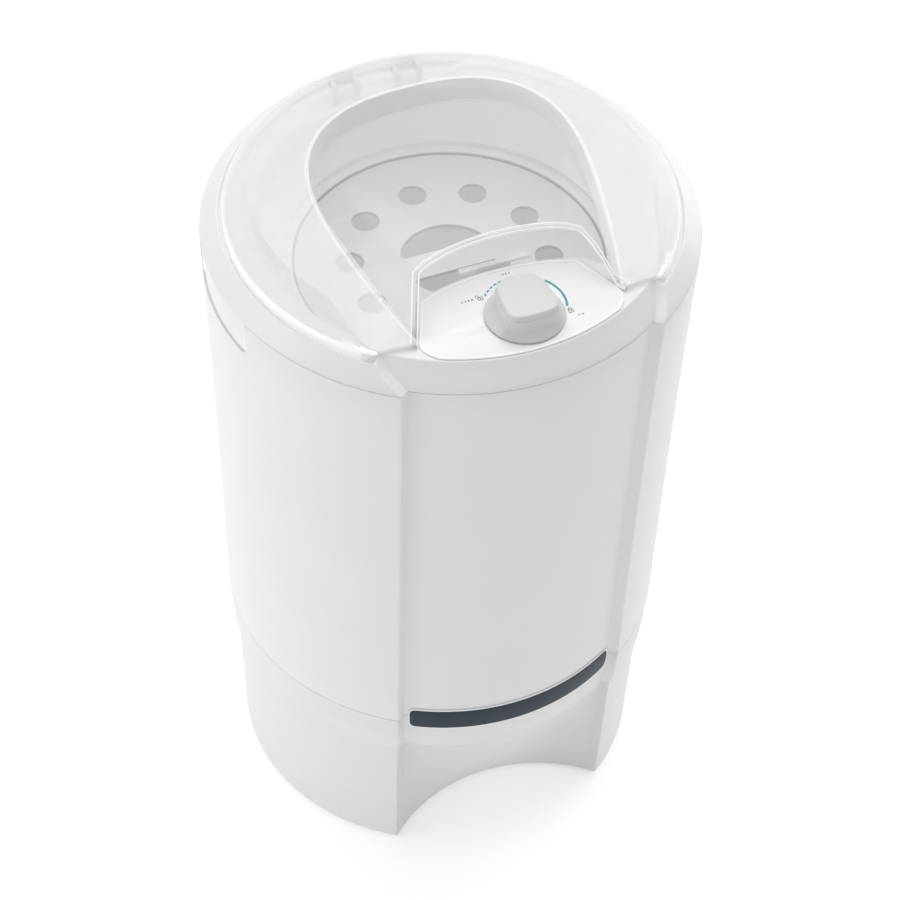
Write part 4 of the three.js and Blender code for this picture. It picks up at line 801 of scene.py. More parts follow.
# The funnel's faces take the finish whose glow is painted light.
collar.data.materials.append(funnel_painted_glow)
for face in collar.data.polygons:
    x, y, z = measured(face.center)
    beside_deck = abs(math.degrees(math.atan2(x, -y))) > CREASE_TOP + 1
    face.material_index = int(beside_deck and math.hypot(x, y) < GROOVE_OUTER and z < LIP_HEIGHT - 2)
for i, x in enumerate((-HINGE_X, HINGE_X)):
    for j, at in enumerate((x - KNUCKLE_HALF - JOINT_GAP - EAR, x + KNUCKLE_HALF + JOINT_GAP)):
        finished(ear(f"hinge_ear_{2 * i + j + 1}", at), white_collar, "casing")

# %% [markdown]
# ## Front strip
# A dark bare strip with rounded ends lies across the seam between the base and the body wall, in a thin
# light edging. Both follow the recessed panel, so they are skins over short upright sections.

# %% Front strip and its edging
STRIP_HALF = 30.3
STRIP_FOOT, STRIP_TOP = 202.0, 229.0
STRIP_CORNER = 6.0
EDGING = 1.7
SOFT_EDGE = 0.25           # how far the strip's face falls at its upper and lower edge
ALONG_PANEL = 3.7          # millimetres in a degree, on the panel


def panel_radius(z):
    """Radius of the recessed panel's face."""
    if z > SEAM_HEIGHT:
        return wall_radius(z) - PANEL_RECESS
    return blend(BAND_RADIUS, SEAM_RADIUS, (z - BAND_FOOT) / (SEAM_HEIGHT - BAND_FOOT)) - PANEL_RECESS


def strip_outline(grow):
    """The strip's outline as angle and height, with its corners rounded."""
    half = STRIP_HALF + grow / ALONG_PANEL
    foot, top = STRIP_FOOT - grow, STRIP_TOP + grow
    corner = STRIP_CORNER + grow
    wide = corner / ALONG_PANEL
    ends = []
    for k in range(9):
        turn = math.pi / 2 * k / 8
        ends.append((half - wide * (1 - math.cos(turn)), foot + corner * (1 - math.sin(turn))))
    long = [(blend(half - wide, -(half - wide), k / 40), foot) for k in range(1, 40)]
    lower = ends + long + [(-a, z) for a, z in reversed(ends)]
    return lower, [(a, foot + top - z) for a, z in lower]


def strip_body(name, outer_grow, inner_grow, thickness):
    """A plate on the panel, or a frame if it has an inner outline."""
    sections = []
    lower, upper = strip_outline(outer_grow)
    if inner_grow is None:
        for (a, z), (_, tall) in zip(lower, upper):
            rows = [blend(z, tall, k / 6) for k in range(7)]
            falls = [SOFT_EDGE, 0, 0, 0, 0, 0, SOFT_EDGE]
            face = [(a, panel_radius(h) + JOINT_GAP + thickness - fall, h) for h, fall in zip(rows, falls)]
            rear = [(a, panel_radius(h) + JOINT_GAP, h) for h in reversed(rows)]
            sections.append([around(*p) for p in face + rear])
        return solid(name, *skin(sections, around_drum=False), 35)
    inner_lower, inner_upper = strip_outline(inner_grow)
    outline = lower + upper[::-1]
    hole = inner_lower + inner_upper[::-1]
    for (a, z), (b, h) in zip(outline, hole):
        middle = (blend(a, b, 0.5), blend(z, h, 0.5))
        sections.append([
            around(a, panel_radius(z) + JOINT_GAP, z),
            around(a, panel_radius(z) + JOINT_GAP + thickness - 0.4, z),
            around(middle[0], panel_radius(middle[1]) + JOINT_GAP + thickness, middle[1]),
            around(b, panel_radius(h) + JOINT_GAP + thickness - 0.4, h),
            around(b, panel_radius(h) + JOINT_GAP, h),
        ])
    return solid(name, *skin(sections), 50)


band = strip_body("front_band", 0.0, None, 1.3)
finished(band, slate_film, "casing", ["front_strip"])
# The edging's finish glows a little, which is painted light.
edging = strip_body("front_band_edging", EDGING + 0.3, 0.3, 1.2)
finished(edging, insert_painted_glow, "casing", ["strip_bezel"])

# %% [markdown]
# ## Control deck
# A printed film covers the deck. Its outline is drawn as a flat closed curve that Blender fills and
# gives a small bevel, which is the shortest way to a plate with a soft edge.

# %% Flat plates from outlines
def meshed(name, curve, place):
    """The mesh of a curve or a text that stands at a place of the frame."""
    shape = linked(name, curve)
    shape.location = place
    bpy.context.view_layer.update()
    mesh = bpy.data.meshes.new_from_object(shape.evaluated_get(bpy.context.evaluated_depsgraph_get()))
    mesh.transform(shape.matrix_world)
    bpy.data.objects.remove(shape)
    return mesh


def plate(name, outlines, foot, top, bevel=0.25):
    """A flat plate from closed outlines, in millimetres; inner outlines are holes."""
    curve = bpy.data.curves.new(name, "CURVE")
    curve.dimensions = "2D"
    curve.fill_mode = "BOTH"
    curve.extrude = (top - foot) / 2 * MM - bevel * MM
    curve.bevel_depth = bevel * MM
    curve.bevel_resolution = 1
    curve.offset = -bevel * MM
    for outline in outlines:
        spline = curve.splines.new("POLY")
        spline.points.add(len(outline) - 1)
        for point, (x, y) in zip(spline.points, outline):
            point.co = (x * MM, (y + AXIS_Y) * MM, 0.0, 1.0)
        spline.use_cyclic_u = True
    mesh = meshed(name, curve, (0.0, 0.0, (foot + top) / 2 * MM))
    work = bmesh.new()
    work.from_mesh(mesh)
    bmesh.ops.remove_doubles(work, verts=work.verts, dist=0.000002)
    bmesh.ops.recalc_face_normals(work, faces=work.faces)
    work.to_mesh(mesh)
    work.free()
    mesh.shade_smooth()
    mesh.set_sharp_from_angle(angle=math.radians(35))
    return linked(name, mesh)


def bezier(start, middle, end, steps):
    """Points of a curve that leaves the start towards the middle; the start itself is left out."""
    points = []
    for k in range(1, steps + 1):
        t = k / steps
        first, pull, last = (1 - t) ** 2, 2 * t * (1 - t), t * t
        points.append(tuple(first * s + pull * m + last * e for s, m, e in zip(start, middle, end)))
    return points


def disc_outline(x, y, radius, sides=48):
    turns = [2 * math.pi * k / sides for k in range(sides)]
    return [(x + radius * math.cos(a), y + radius * math.sin(a)) for a in turns]


# %% [markdown]
# The film's rear edge is a shallow bow between two corners, its front edge follows the collar, and its
# sides lean in a little. A narrow raised border runs just inside the edge, which makes the white film
# stand out on the white deck.

# %% The film
LABEL_FOOT, LABEL_TOP = 720.3, 721.1
LABEL_RADIUS = 203.5
SHAFT_HOLE = 6.0
REAR_CORNER = (76.0, -112.0)
REAR_MIDDLE = -98.0
SIDE_CORNER = (97.0, -160.0)
FRONT_TUCK = (101.0, -171.0)
FRONT_HALF = 25.5          # degrees
BORDER = (0.5, 2.2)        # how far the border's two edges run inside the film's
BORDER_RISE = 0.55


def film_outline(within=0.0):
    """The film's outline, or one that runs inside it by about that much."""
    corner, rear = (REAR_CORNER[0] - within * 0.9, REAR_CORNER[1] - within * 0.75), REAR_MIDDLE - within
    side, tuck = SIDE_CORNER[0] - within, FRONT_TUCK[0] - within
    last = FRONT_HALF - within * 0.3
    arc = [around(last - 2 * last * k / 30, LABEL_RADIUS - within, 0)[:2] for k in range(31)]
    points = [(-corner[0], corner[1])]
    points += bezier((-corner[0], corner[1]), (0, 2 * rear - corner[1]), corner, 24)
    points.append((side, SIDE_CORNER[1]))
    points += bezier((side, SIDE_CORNER[1]), (tuck, FRONT_TUCK[1]), arc[0], 6)
    points += arc[1:]
    points += bezier(arc[-1], (-tuck, FRONT_TUCK[1]), (-side, SIDE_CORNER[1]), 6)
    return points


film_lines = [film_outline(), disc_outline(KNOB_X, KNOB_Y, SHAFT_HOLE)]
film = plate("deck_film", film_lines, LABEL_FOOT, LABEL_TOP)
finished(film, label_white, "casing", ["console_label"])
border_lines = [film_outline(edge) for edge in BORDER]
# The border's finish glows a little, which is painted light that helps it stand out.
border = plate("film_border", border_lines, LABEL_TOP - 0.05, LABEL_TOP + BORDER_RISE, 0.2)
finished(border, insert_painted_glow, "casing")

# %% [markdown]
# The print is a set of very thin plates in ink colours. A dial round the knob says what its turn does:
# a dashed arc towards the open lid, a dot for off and a solid arc towards the locked lid.

# %% The dial
PRINT_TOP = LABEL_TOP + 0.12
DIAL = 37.7
DIAL_X, DIAL_Y = 9.2, -149.9
LOCKED_ARC = (51, 111)     # degrees
DASH, DASH_PITCH = 5.2, 8.2
FIRST_DASH, LAST_DASH = -50, 7        # the last one lies alone, past the dot


def dial_point(turn, radius):
    """A point round the dial; turn is in degrees clockwise from the rear."""
    a = math.radians(turn)
    return (DIAL_X + radius * math.sin(a), DIAL_Y + radius * math.cos(a))


def arc_mark(start, end, radius, width):
    """The outline of a thick arc round the dial."""
    steps = max(2, round(abs(end - start) / 3))
    turns = [blend(start, end, k / steps) for k in range(steps + 1)]
    inner = [dial_point(t, radius - width / 2) for t in turns]
    outer = [dial_point(t, radius + width / 2) for t in reversed(turns)]
    return inner + outer


def printed(name, outlines, ink):
    """A thin plate of ink on the film."""
    finished(plate(name, outlines, LABEL_TOP - 0.02, PRINT_TOP, 0.02), ink, "casing")


printed("dial_solid_arc", [arc_mark(*LOCKED_ARC, DIAL, 2.3)], teal_ink)
dash_starts = [FIRST_DASH + DASH_PITCH * k for k in range(6)] + [LAST_DASH]
dashes = [arc_mark(t, t + DASH, DIAL, 1.6) for t in dash_starts]
printed("dial_dashes", dashes, teal_ink)
printed("dial_dot", [disc_outline(*dial_point(0.5, DIAL), 1.4, 20)], black_ink)

# %% [markdown]
# Two small padlocks and three plain words name the ends and the middle of the dial. A padlock is drawn
# with holes in its outlines, so that only a thin line of ink is left.

# %% Padlocks and words
def padlock(name, cx, cy, swung):
    """A padlock drawn in a thin line: a body, a keyhole and a bow that may be swung aside."""
    body = [(cx - 2.4, cy - 3), (cx + 2.4, cy - 3), (cx + 2.4, cy + 0.8), (cx - 2.4, cy + 0.8)]
    room = [(cx - 1.9, cy - 2.5), (cx + 1.9, cy - 2.5), (cx + 1.9, cy + 0.3), (cx - 1.9, cy + 0.3)]
    middle = cx + swung
    turns = [math.radians(15 * k) for k in range(13)]
    over = [(middle + 1.7 * math.cos(a), cy + 1.6 + 1.9 * math.sin(a)) for a in reversed(turns)]
    under = [(middle + 1.2 * math.cos(a), cy + 1.6 + 1.4 * math.sin(a)) for a in turns]
    foot = cy + 0.9
    bow = [(over[0][0], foot), *over, (over[-1][0], foot)]
    bow += [(under[0][0], foot), *under, (under[-1][0], foot)]
    printed(name, [body, room[::-1], disc_outline(cx, cy - 1, 0.6, 10), bow], black_ink)


padlock("mark_unlocked", -24.6, -126.0, -2.2)
padlock("mark_locked", 45.1, -169.3, 0.0)


def word(name, text, x, y, size=3.1, spacing=1.9):
    """A plain word printed flat."""
    half = (PRINT_TOP - LABEL_TOP) / 2
    curve = bpy.data.curves.new(name, "FONT")
    curve.body = text
    curve.size = size * MM
    curve.space_character = spacing
    curve.align_x = "CENTER"
    curve.align_y = "CENTER"
    curve.extrude = half * MM
    curve.resolution_u = 3
    mesh = meshed(name, curve, placed((x, y, LABEL_TOP + half)))
    finished(linked(name, mesh), black_ink, "casing")


word("word_off", "OFF", 9.0, -105.9)
word("word_open", "OPEN", -37.0, -126.2)
word("word_on", "ON", 51.5, -177.4)

# %% [markdown]
# ## Knob
# The knob is a round flare that grows up into a rounded square grip. Its sections change from a circle
# to a superellipse, so one skin gives both and the soft hollow between them. The top is very slightly
# crowned.

# %% Knob
KNOB_FOOT = 722.3
KNOB_HEIGHT = 26.0
FLARE_RADIUS = 36.8
GRIP_HALF_WIDTH = 24.3
GRIP_EXTRA_LENGTH = 2.7
GRIP_TAPER = 0.09          # the grip is narrower at its rear
REAR_ROUNDING = 1.1        # and its rear corners are rounder


def squircle(turn, power):
    """Distance from the centre to the edge of a superellipse of radius 1."""
    c, s = abs(math.cos(turn)), abs(math.sin(turn))
    return 1 / (c ** power + s ** power) ** (1 / power)


def knob_body():
    """The knob as one skin of upright sections round its axis."""
    flare, grip = FLARE_RADIUS, GRIP_HALF_WIDTH
    # Each row is a height over the foot, a radius and the superellipse's power.
    rows = [
        (0.0, flare - 1.2, 2.0), (0.35, flare - 0.3, 2.0), (1.4, flare, 2.0), (2.4, flare - 0.7, 2.0),
        (4.5, flare - 3.2, 2.05), (7.5, flare - 6.2, 2.3), (11.0, flare - 8.6, 2.8),
        (15.0, flare - 10.2, 3.3), (18.6, grip + 1.9, 3.6), (19.5, grip + 1.5, 3.7),
        (19.8, grip + 0.5, 3.8), (20.2, grip + 0.2, 3.9),
        (24.0, grip - 0.2, 4.0), (25.2, grip - 0.9, 4.0), (25.75, grip - 2.0, 4.0), (25.9, grip - 6.0, 3.6),
        (KNOB_HEIGHT, 6.0, 2.0),
    ]
    sections = []
    steps = 96
    for k in range(steps):
        turn = 2 * math.pi * k / steps
        section = [(KNOB_X, KNOB_Y, KNOB_FOOT)]
        for rise, radius, power in rows:
            square = (power - 2) / 2
            reach = squircle(turn, power - REAR_ROUNDING * square * max(0.0, math.sin(turn)))
            y = reach * math.sin(turn)
            x = reach * math.cos(turn) * (1 - GRIP_TAPER * square * y)
            long = radius + GRIP_EXTRA_LENGTH * square
            section.append((KNOB_X + radius * x, KNOB_Y + long * y, KNOB_FOOT + rise))
        section.append((KNOB_X, KNOB_Y, KNOB_FOOT + KNOB_HEIGHT))
        sections.append(section)
    points = [p for s in sections for p in s]
    count = len(sections[0])
    faces = []
    for s in range(steps):
        here, there = s * count, ((s + 1) % steps) * count
        for i in range(count - 1):
            faces.append((here + i, there + i, there + i + 1, here + i + 1))
    return solid("dial_knob", points, faces, 50)


finished(knob_body(), knob_white, "knob", ["knob"])

# %% [markdown]
# ## Lid
# Seen from above the lid has a raised U, its crest, which is highest at the back and opens towards the
# control deck. Inside the U lies the clear crown, outside it the frosted shoulder falls to the rim.
# Every column's section is worked out from where the crest lies at that angle, and the notch round the
# deck is cut afterwards with a wall that closes it.

# %% Lid sections
LID_RADIUS = 211.5
LID_FOOT = 709.6
LID_RIM = 722.6
LID_WALL = 2.4
SHOULDER_RADIUS, SHOULDER_HEIGHT = 186.0, 745.0
CREST_HALF, CREST_BACK = 131.0, 113.0
CREST_FRONT_HALF, CREST_FRONT_Y = 99.0, 164.0
CREST_HEIGHT, CREST_SLOPE = 751.5, 0.165
CREST_SQUARENESS = 2.5     # of the U's bow; 2 would be an ellipse
CREST_NARROWING = 1.5      # how late its legs draw together
CREST_WIDTH = 7.0
CREST_DROP = (3.0, 22.0)   # from the crest down to the crown's edge, in front and at the back
DROP_START = -60.0         # how far in front of the axis that drop starts to grow
CROWN_HEIGHT = 763.0
CROWN_POWER = 7            # how late the crown falls towards the crest
TIP_X, TIP_Y = 136.0, 159.0


def crest_at(angle):
    """Radius and height of the crest at an angle."""
    last = math.degrees(math.atan2(CREST_FRONT_HALF, CREST_FRONT_Y))
    at = math.radians(max(abs(angle), last))
    low, high = 50.0, LID_RADIUS
    for _ in range(30):
        radius = (low + high) / 2
        x, y = radius * math.sin(at), -radius * math.cos(at)
        bow = (x / CREST_HALF) ** CREST_SQUARENESS + (max(y, 0) / CREST_BACK) ** CREST_SQUARENESS
        leg = (CREST_HALF - CREST_FRONT_HALF) * (max(-y, 0) / CREST_FRONT_Y) ** CREST_NARROWING
        inside = bow < 1 if y > 0 else x < CREST_HALF - leg
        low, high = (radius, high) if inside else (low, radius)
    return low, CREST_HEIGHT - CREST_SLOPE * low * math.cos(at)


def lid_rows(angle):
    """The upper line of the lid's section, from the middle to the rim's foot, as radius and height."""
    crest_radius, crest_height = crest_at(angle)
    y = -crest_radius * math.cos(math.radians(angle))
    backwards = (y - DROP_START) / (CREST_BACK - DROP_START)
    drop = blend(*CREST_DROP, min(1.0, max(0.0, backwards)))
    foot_radius, foot_height = crest_radius - CREST_WIDTH, crest_height - drop
    tip = math.degrees(math.atan2(TIP_X, TIP_Y))
    opened = smooth((abs(angle) - tip) / 20)
    shoulder_r = blend(LID_RADIUS - 3, SHOULDER_RADIUS, opened)
    shoulder_z = blend(LID_RIM + 1.5, SHOULDER_HEIGHT, opened)
    outer = min(crest_radius + 1.5, shoulder_r - 1)
    crown = [(max(foot_radius * t, 0.0), CROWN_HEIGHT + (foot_height - CROWN_HEIGHT) * t ** CROWN_POWER)
             for t in (0, 0.25, 0.45, 0.6, 0.72, 0.82, 0.9, 0.96, 1)]
    above = crown + [
        (blend(foot_radius, crest_radius - 2.2, 0.5), blend(foot_height, crest_height - 0.4, 0.55)),
        (crest_radius - 2.2, crest_height - 0.4),
        (crest_radius - 0.4, crest_height + 0.1),
        (outer, crest_height),
    ]
    for share in (0.18, 0.36, 0.54, 0.72, 0.88):
        bulge = 4 * share * (1 - share)
        above.append((blend(outer, shoulder_r, share), blend(crest_height, shoulder_z, share) + bulge))
    above += [
        (shoulder_r, shoulder_z),
        (blend(shoulder_r, LID_RADIUS, 0.05), blend(shoulder_z, LID_RIM, 0.06)),
        (blend(shoulder_r, LID_RADIUS, 0.12), blend(shoulder_z, LID_RIM, 0.26)),
        (blend(shoulder_r, LID_RADIUS, 0.22), blend(shoulder_z, LID_RIM, 0.38)),
        (blend(shoulder_r, LID_RADIUS, 0.60), blend(shoulder_z, LID_RIM, 0.66)),
        (LID_RADIUS - 0.5, LID_RIM + 0.7),
        (LID_RADIUS, LID_RIM - 0.6),
        (LID_RADIUS, LID_FOOT + 0.4),
        (LID_RADIUS - 0.4, LID_FOOT),
    ]
    return above


def under_side(above):
    """The same line, moved inwards by the wall."""
    moved = []
    for i, (r, z) in enumerate(above):
        pr, pz = above[max(i - 1, 0)]
        nr, nz = above[min(i + 1, len(above) - 1)]
        length = math.hypot(nr - pr, nz - pz)
        moved.append((r + (nz - pz) / length * LID_WALL, z - (nr - pr) / length * LID_WALL))
    moved[-1] = (LID_RADIUS - LID_WALL + 0.4, LID_FOOT)
    moved[-2] = (LID_RADIUS - LID_WALL, LID_FOOT + 0.4)
    moved[0] = (0.0, above[0][1] - LID_WALL)
    return [(max(r, 0.0), z) for r, z in moved]


LID_STEPS = 144
lid_angles = [-180 + 360 * k / LID_STEPS for k in range(LID_STEPS)]
print("crest at the back:", [round(v, 1) for v in crest_at(180)])
print("crest at the side:", [round(v, 1) for v in crest_at(90)])

# %% [markdown]
# The notch for the deck runs along the film's rear edge with some clearance. It is cut out of the
# closed shell, and so is the room for the hinge and the collar at the lid's foot. The wall that closes
# the notch is kept only where it lies under the lid's upper face.

# %% Notch and its wall
NOTCH_CLEAR = 1.5
NOTCH_WALL = 2.2
NOTCH_FOOT = DECK + 0.6


def notch_line(offset):
    """The line that the notch follows, this far outside the film's rear corners."""
    rear, corner_x, corner_y = REAR_MIDDLE + offset, REAR_CORNER[0] + offset, REAR_CORNER[1] + offset
    line = [(-CREST_FRONT_HALF - offset, -CREST_FRONT_Y), (-corner_x, corner_y)]
    line += [(k / 8 * corner_x, blend(rear, corner_y, (k / 8) ** 2)) for k in range(-7, 8)]
    return line + [(corner_x, corner_y), (CREST_FRONT_HALF + offset, -CREST_FRONT_Y)]


def lid_shell():
    """The lid before it is cut: the upper line and the same line from below."""
    sections = []
    for a in lid_angles:
        rows = lid_rows(a)
        sections.append([around(a, r, z) for r, z in rows + under_side(rows)[::-1]])
    return solid("lid_shell", *skin(sections), 35)


def lid_room(floor):
    """The room under the lid's upper face, down to a floor."""
    sections = []
    for a in lid_angles:
        rows = lid_rows(a)[:-2] + [(LID_RADIUS, floor), (0.0, floor)]
        sections.append([around(a, r, z) for r, z in rows])
    return solid("lid_room", *skin(sections), 35)


far = LID_RADIUS + 40
inner_notch, outer_notch = notch_line(NOTCH_CLEAR), notch_line(NOTCH_CLEAR + NOTCH_WALL)
front_block = [(-far, -far), (-far, -TIP_Y), (-TIP_X, -TIP_Y)] + inner_notch
front_block += [(TIP_X, -TIP_Y), (far, -TIP_Y), (far, -far)]
front_cut = upright("front_cut", front_block, LID_FOOT - 20, CROWN_HEIGHT + 40)
rear_relief = bar("rear_relief", -90, 90, HINGE_Y - 20, far, LID_FOOT - 20, LIP_HEIGHT - 2)
tip_relief = bar("tip_relief", -far, far, -far, -TIP_Y + 8, LID_FOOT - 20, NOTCH_FOOT)
lid = carved(lid_shell(), [front_cut, rear_relief, tip_relief])
notch_block = upright("notch_wall", inner_notch + outer_notch[::-1], NOTCH_FOOT, CROWN_HEIGHT + 20)
notch_wall = carved(notch_block, [lid_room(NOTCH_FOOT)], "INTERSECT")
print("lid:", len(lid.data.polygons), "faces; wall:", len(notch_wall.data.polygons))

# %% [markdown]
# One moulding, four looks: clear inside the crest, frosted outside it, and denser along the crest and
# at the rim, where the eye looks through more plastic. The rim's finish also glows, which is painted
# light. Each face takes the finish that its place asks for.

# %% Dress the lid
CREST_LINE = (-3.2, 1.0)   # where the dense line along the crest starts and ends, from its top
RIM_LINE = (4.0, 1.0)      # how far the dense rim reaches inwards and upwards


def split_finishes(piece):
    """Clear inside the crest, frosted outside it, and denser at the crest and at the rim."""
    for finish in (lid_clear, lid_frosted, lid_edge, lid_rim_painted_glow):
        piece.data.materials.append(finish)
    for face in piece.data.polygons:
        x, y, z = measured(face.center)
        radius = math.hypot(x, y)
        crest_radius = crest_at(math.degrees(math.atan2(x, -y)))[0]
        on_crest = crest_radius + CREST_LINE[0] < radius < crest_radius + CREST_LINE[1]
        on_rim = radius > LID_RADIUS - RIM_LINE[0] and z < LID_RIM + RIM_LINE[1]
        outside = radius > crest_radius - CREST_WIDTH + 1
        face.material_index = 3 if on_rim else 2 if on_crest else int(outside)


lid.data.materials.clear()
split_finishes(lid)
lid.data.set_sharp_from_angle(angle=math.radians(35))
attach(lid, "lid")
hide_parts("lid")
notch_wall.data.set_sharp_from_angle(angle=math.radians(35))
finished(notch_wall, lid_clear, "lid")

# %% [markdown]
# The clear wall round the deck ends in a flat lip with a fine bright bead along each of its edges,
# where the plastic gathers the light; part of the beads' brightness is painted light, a glow in their
# finish. The lip and both beads come from one helper that lays a profile on the lid along the notch.

# %% A lip along the top of the notch wall
def lid_top(x, y):
    """Height of the lid's upper face over a point."""
    radius, rows = math.hypot(x, y), lid_rows(math.degrees(math.atan2(x, -y)))
    for (r0, z0), (r1, z1) in zip(rows, rows[1:]):
        if r0 <= radius <= r1:
            return blend(z0, z1, (radius - r0) / max(r1 - r0, 1e-9))
    return LID_RIM


def along_notch(name, profile):
    """A strip along the notch, from a profile of distances outwards and heights over the lid."""
    line = notch_line(NOTCH_CLEAR + NOTCH_WALL / 2)
    sides = [lerp(line[0], line[1], k / 6) for k in range(6)]
    path = sides + line[1:-1] + [lerp(line[-2], line[-1], k / 6) for k in range(1, 7)]
    sections = []
    for i, (x, y) in enumerate(path):
        before, after = path[max(i - 1, 0)], path[min(i + 1, len(path) - 1)]
        length = math.dist(before, after)
        across = ((before[1] - after[1]) / length, (after[0] - before[0]) / length)
        spots = [(x + across[0] * w, y + across[1] * w, h) for w, h in profile]
        sections.append([(a, b, lid_top(a, b) + h) for a, b, h in spots])
    return solid(name, *skin(sections, around_drum=False), 50)


def bead(inner, outer):
    """A bead's profile between two distances outwards."""
    middle = (inner + outer) / 2
    return [(inner, -2.0), (inner, 0.45), (middle, 0.85), (outer, 0.45), (outer, -2.0)]


LIP_INNER, LIP_OUTER = -1.7, 5.0
LIP_MARGIN = 0.2           # the beads stand out past the lip by this
BEAD_WIDTH = 1.2
near, beyond = LIP_INNER + LIP_MARGIN, LIP_OUTER - LIP_MARGIN
lip_profile = [(near, -2.2), (near, 0.3), (beyond, 0.3), (beyond, -2.2)]
finished(along_notch("notch_lip", lip_profile), lid_clear, "lid")
for place, inner in (("inner", LIP_INNER), ("outer", LIP_OUTER - BEAD_WIDTH)):
    strip = along_notch(f"notch_bead_{place}", bead(inner, inner + BEAD_WIDTH))
    finished(strip, lid_rim_painted_glow, "lid")

# %% [markdown]
# At the back the lid hangs on two knuckles between the collar's ears: a barrel on each pin and a web up
# to the shell.

# %% Hinge knuckles
def knuckle(name, x):
    """A barrel on the hinge pin with a web up to the lid's underside."""
    side = [(HINGE_Y - 4, HINGE_Z + 14), (HINGE_Y - 4, HINGE_Z + 3.8)]
    for k in range(19):
        turn = math.radians(137 + 266 * k / 18)
        side.append((HINGE_Y + KNUCKLE_RADIUS * math.cos(turn), HINGE_Z + KNUCKLE_RADIUS * math.sin(turn)))
    side += [(HINGE_Y + 4, HINGE_Z + 3.8), (HINGE_Y + 4, HINGE_Z + 8)]
    return crosswise(name, side, x - KNUCKLE_HALF, x + KNUCKLE_HALF)


for side, x in (("left", -HINGE_X), ("right", HINGE_X)):
    finished(knuckle(f"lid_knuckle_{side}", x), lid_frosted, "lid")

# %% [markdown]
# ## Inner disc and basket rim
# The disc that lies on the laundry is a flat plate with a ring of round holes and two half-moon holes
# for the fingers. It is filled from outlines like the film, with a bevel that catches the light round
# each hole.

# %% Inner disc
DISC_FOOT = 644.3
DISC_TOP = 648.3
DISC_RADIUS = 146.2
HOLE_RING, HOLE_RADIUS = 94.0, 13.5
MOON_RADIUS, BAR_HALF = 47.0, 15.0
MOON_CORNER = 7.0


def half_moon(sign):
    """Half of a round hole, on one side of the bar, with soft corners."""
    reach = math.acos(BAR_HALF / MOON_RADIUS)
    turns = [blend(math.pi / 2 - reach, math.pi / 2 + reach, k / 32) for k in range(33)]
    arc = [(MOON_RADIUS * math.cos(a), sign * MOON_RADIUS * math.sin(a)) for a in turns]
    first, last = (arc[0][0] - MOON_CORNER, arc[0][1]), (arc[-1][0] + MOON_CORNER, arc[-1][1])
    return [first] + bezier(first, arc[0], arc[3], 6) + arc[4:-4] + bezier(arc[-4], arc[-1], last, 6)


holes = [disc_outline(*around(36 * k, HOLE_RING, 0)[:2], HOLE_RADIUS, 36) for k in range(10)]
disc_lines = [disc_outline(0, 0, DISC_RADIUS, 144), *holes, half_moon(1), half_moon(-1)]
disc = plate("laundry_disc", disc_lines, DISC_FOOT, DISC_TOP, 0.6)
finished(disc, disc_white, "disc", ["inner_disc"])

# %% [markdown]
# The basket's rim and the tub are true rounds, so they are turned from a section, as on a lathe. The
# rim has the step that the disc rests on. The tub's wall stands close inside the casing and shows only
# through the holes, lit by a strong glow in its finish that is painted light.

# %% Basket rim
RIM_FOOT, RIM_TOP = 628.0, 650.3
RIM_SOCKET, RIM_OUTER = 160.3, 168.0  # the basket's wall ends inside the socket
REST_FOOT, REST_TOP = 640.3, 644.0    # the step that the disc rests on
REST_BORE, RIM_BORE = 143.0, 148.2

rim_section = [
    (RIM_SOCKET, RIM_FOOT), (RIM_OUTER, RIM_FOOT), (RIM_OUTER, RIM_TOP - 3), (RIM_OUTER - 2, RIM_TOP),
    (RIM_BORE, RIM_TOP), (RIM_BORE, REST_TOP), (REST_BORE, REST_TOP), (REST_BORE, REST_FOOT),
    (RIM_SOCKET, REST_FOOT),
]
ring = lathe("basket_ring", rounded(rim_section, 1.2))
finished(ring, inner_white, "basket", ["basket_rim"])

# %% Tub
TUB_RADIUS, TUB_WALL = 198.5, 2.5
TUB_FOOT, TUB_TOP = 218.3, 698.9
SEAL_HOLE, SEAL_COLLAR = 28.0, 225.8  # the shaft seal's hole, and how high its collar stands

tub_bore, tub_floor = TUB_RADIUS - TUB_WALL, TUB_FOOT + TUB_WALL
tub_section = [
    (TUB_RADIUS, TUB_FOOT), (TUB_RADIUS, TUB_TOP), (tub_bore, TUB_TOP), (tub_bore, tub_floor),
    (SEAL_HOLE + TUB_WALL, tub_floor), (SEAL_HOLE + TUB_WALL, SEAL_COLLAR), (SEAL_HOLE, SEAL_COLLAR),
    (SEAL_HOLE, TUB_FOOT),
]
finished(lathe("outer_tub", rounded(tub_section, 1.0)), tub_painted_glow, "casing", ["tub"])

# %% [markdown]
# ## The hidden works
# What is left has the right shape already. It keeps its solid, is shaded smooth over its small faces,
# and gets the finish of its metal, rubber or plastic.

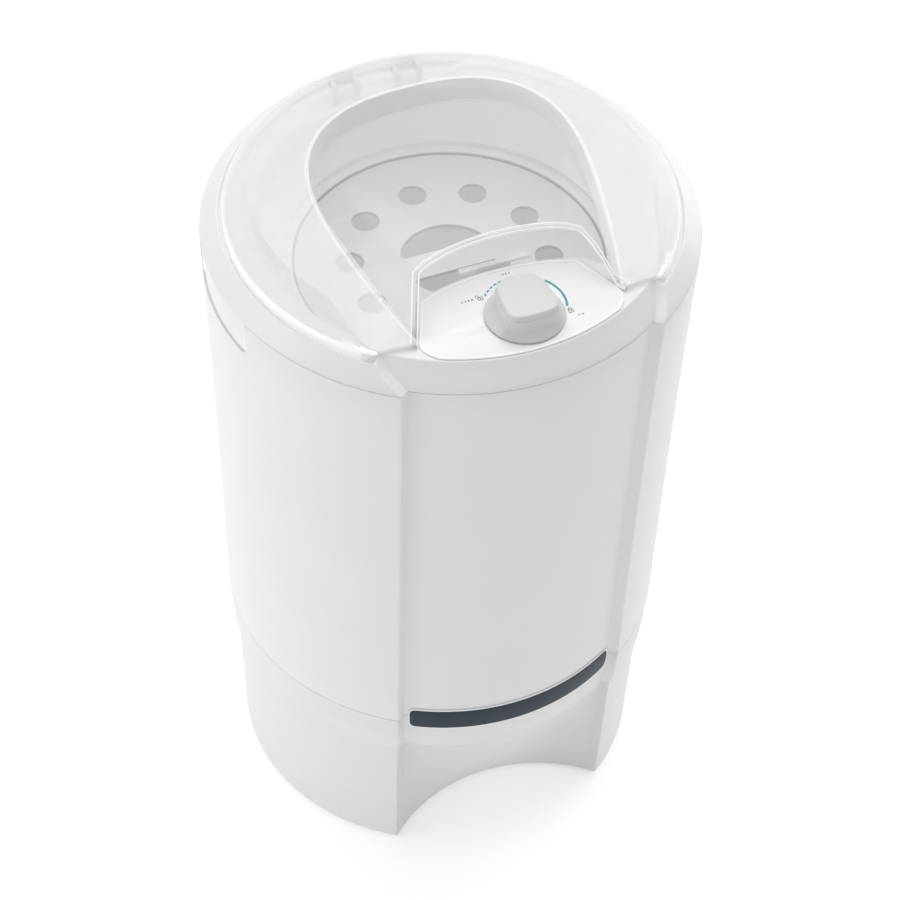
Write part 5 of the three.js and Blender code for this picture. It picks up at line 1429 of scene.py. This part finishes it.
# %% Finishes for the solids that stay
kept = {
    rolled_steel: ["motor_plate", "basket_clamp_ring"],
    turned_steel: ["knob_shaft", "hinge_pin_left", "hinge_pin_right", "tub_screw_1", "tub_screw_2",
                   "tub_screw_3", "tub_screw_4", "hub_nut", "drive_shaft", "lower_bearing", "upper_bearing",
                   "motor_rotor", "brake_drum", "brake_lever", "brake_pivot_pin", "brake_spring"],
    cast_alloy: ["basket_hub", "motor_housing", "motor_cap", "capacitor"],
    winding: ["motor_stator"],
    soft_rubber: ["foot_front_left", "foot_front_right", "foot_rear_left", "foot_rear_right", "drain_hose",
                  "shaft_seal", "suspension_mount_1", "suspension_mount_2", "suspension_mount_3"],
    brake_lining: ["brake_pad"],
    cable_sheath: ["brake_cable", "motor_lead"],
    dark_moulding: ["base_plate", "rotary_switch", "cord_gland"],
    # The basket's finish glows a little: painted light in the shade behind the holes.
    basket_painted_glow: ["basket"],
    inner_white: ["console_floor", "latch_cam", "latch_bolt"],
    lid_edge: ["lid_strike"],
}
for finish, names in kept.items():
    for name in names:
        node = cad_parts[name]
        node.data.materials.clear()
        node.data.materials.append(finish)
        node.data.shade_smooth()
        node.data.set_sharp_from_angle(angle=math.radians(35))
print("solids kept:", sum(len(names) for names in kept.values()))

# %% [markdown]
# ## Floor
# The floor is wide and nearly white, so that the picture's ground is white with one soft shadow. Its
# paint glows a little, as a lit sheet of paper does in a studio; paint alone would stay grey in soft
# light.

# %% Floor
FLOOR_REACH = 12.0         # metres each way

floor_mesh = bpy.data.meshes.new("pale_floor")
corners = [(x * FLOOR_REACH, y * FLOOR_REACH, 0) for x, y in ((-1, -1), (1, -1), (1, 1), (-1, 1))]
floor_mesh.from_pydata(corners, [], [(0, 1, 2, 3)])
floor = linked("pale_floor", floor_mesh)
floor_white = (0.93, 0.93, 0.93)
floor_paint = moulded("floor_paint", floor_white, 0.7, grain=30.0, depth=0.00001, tone=0.995, glow=0.37)
floor_mesh.materials.append(floor_paint)
print("floor:", 2 * FLOOR_REACH, "m wide")
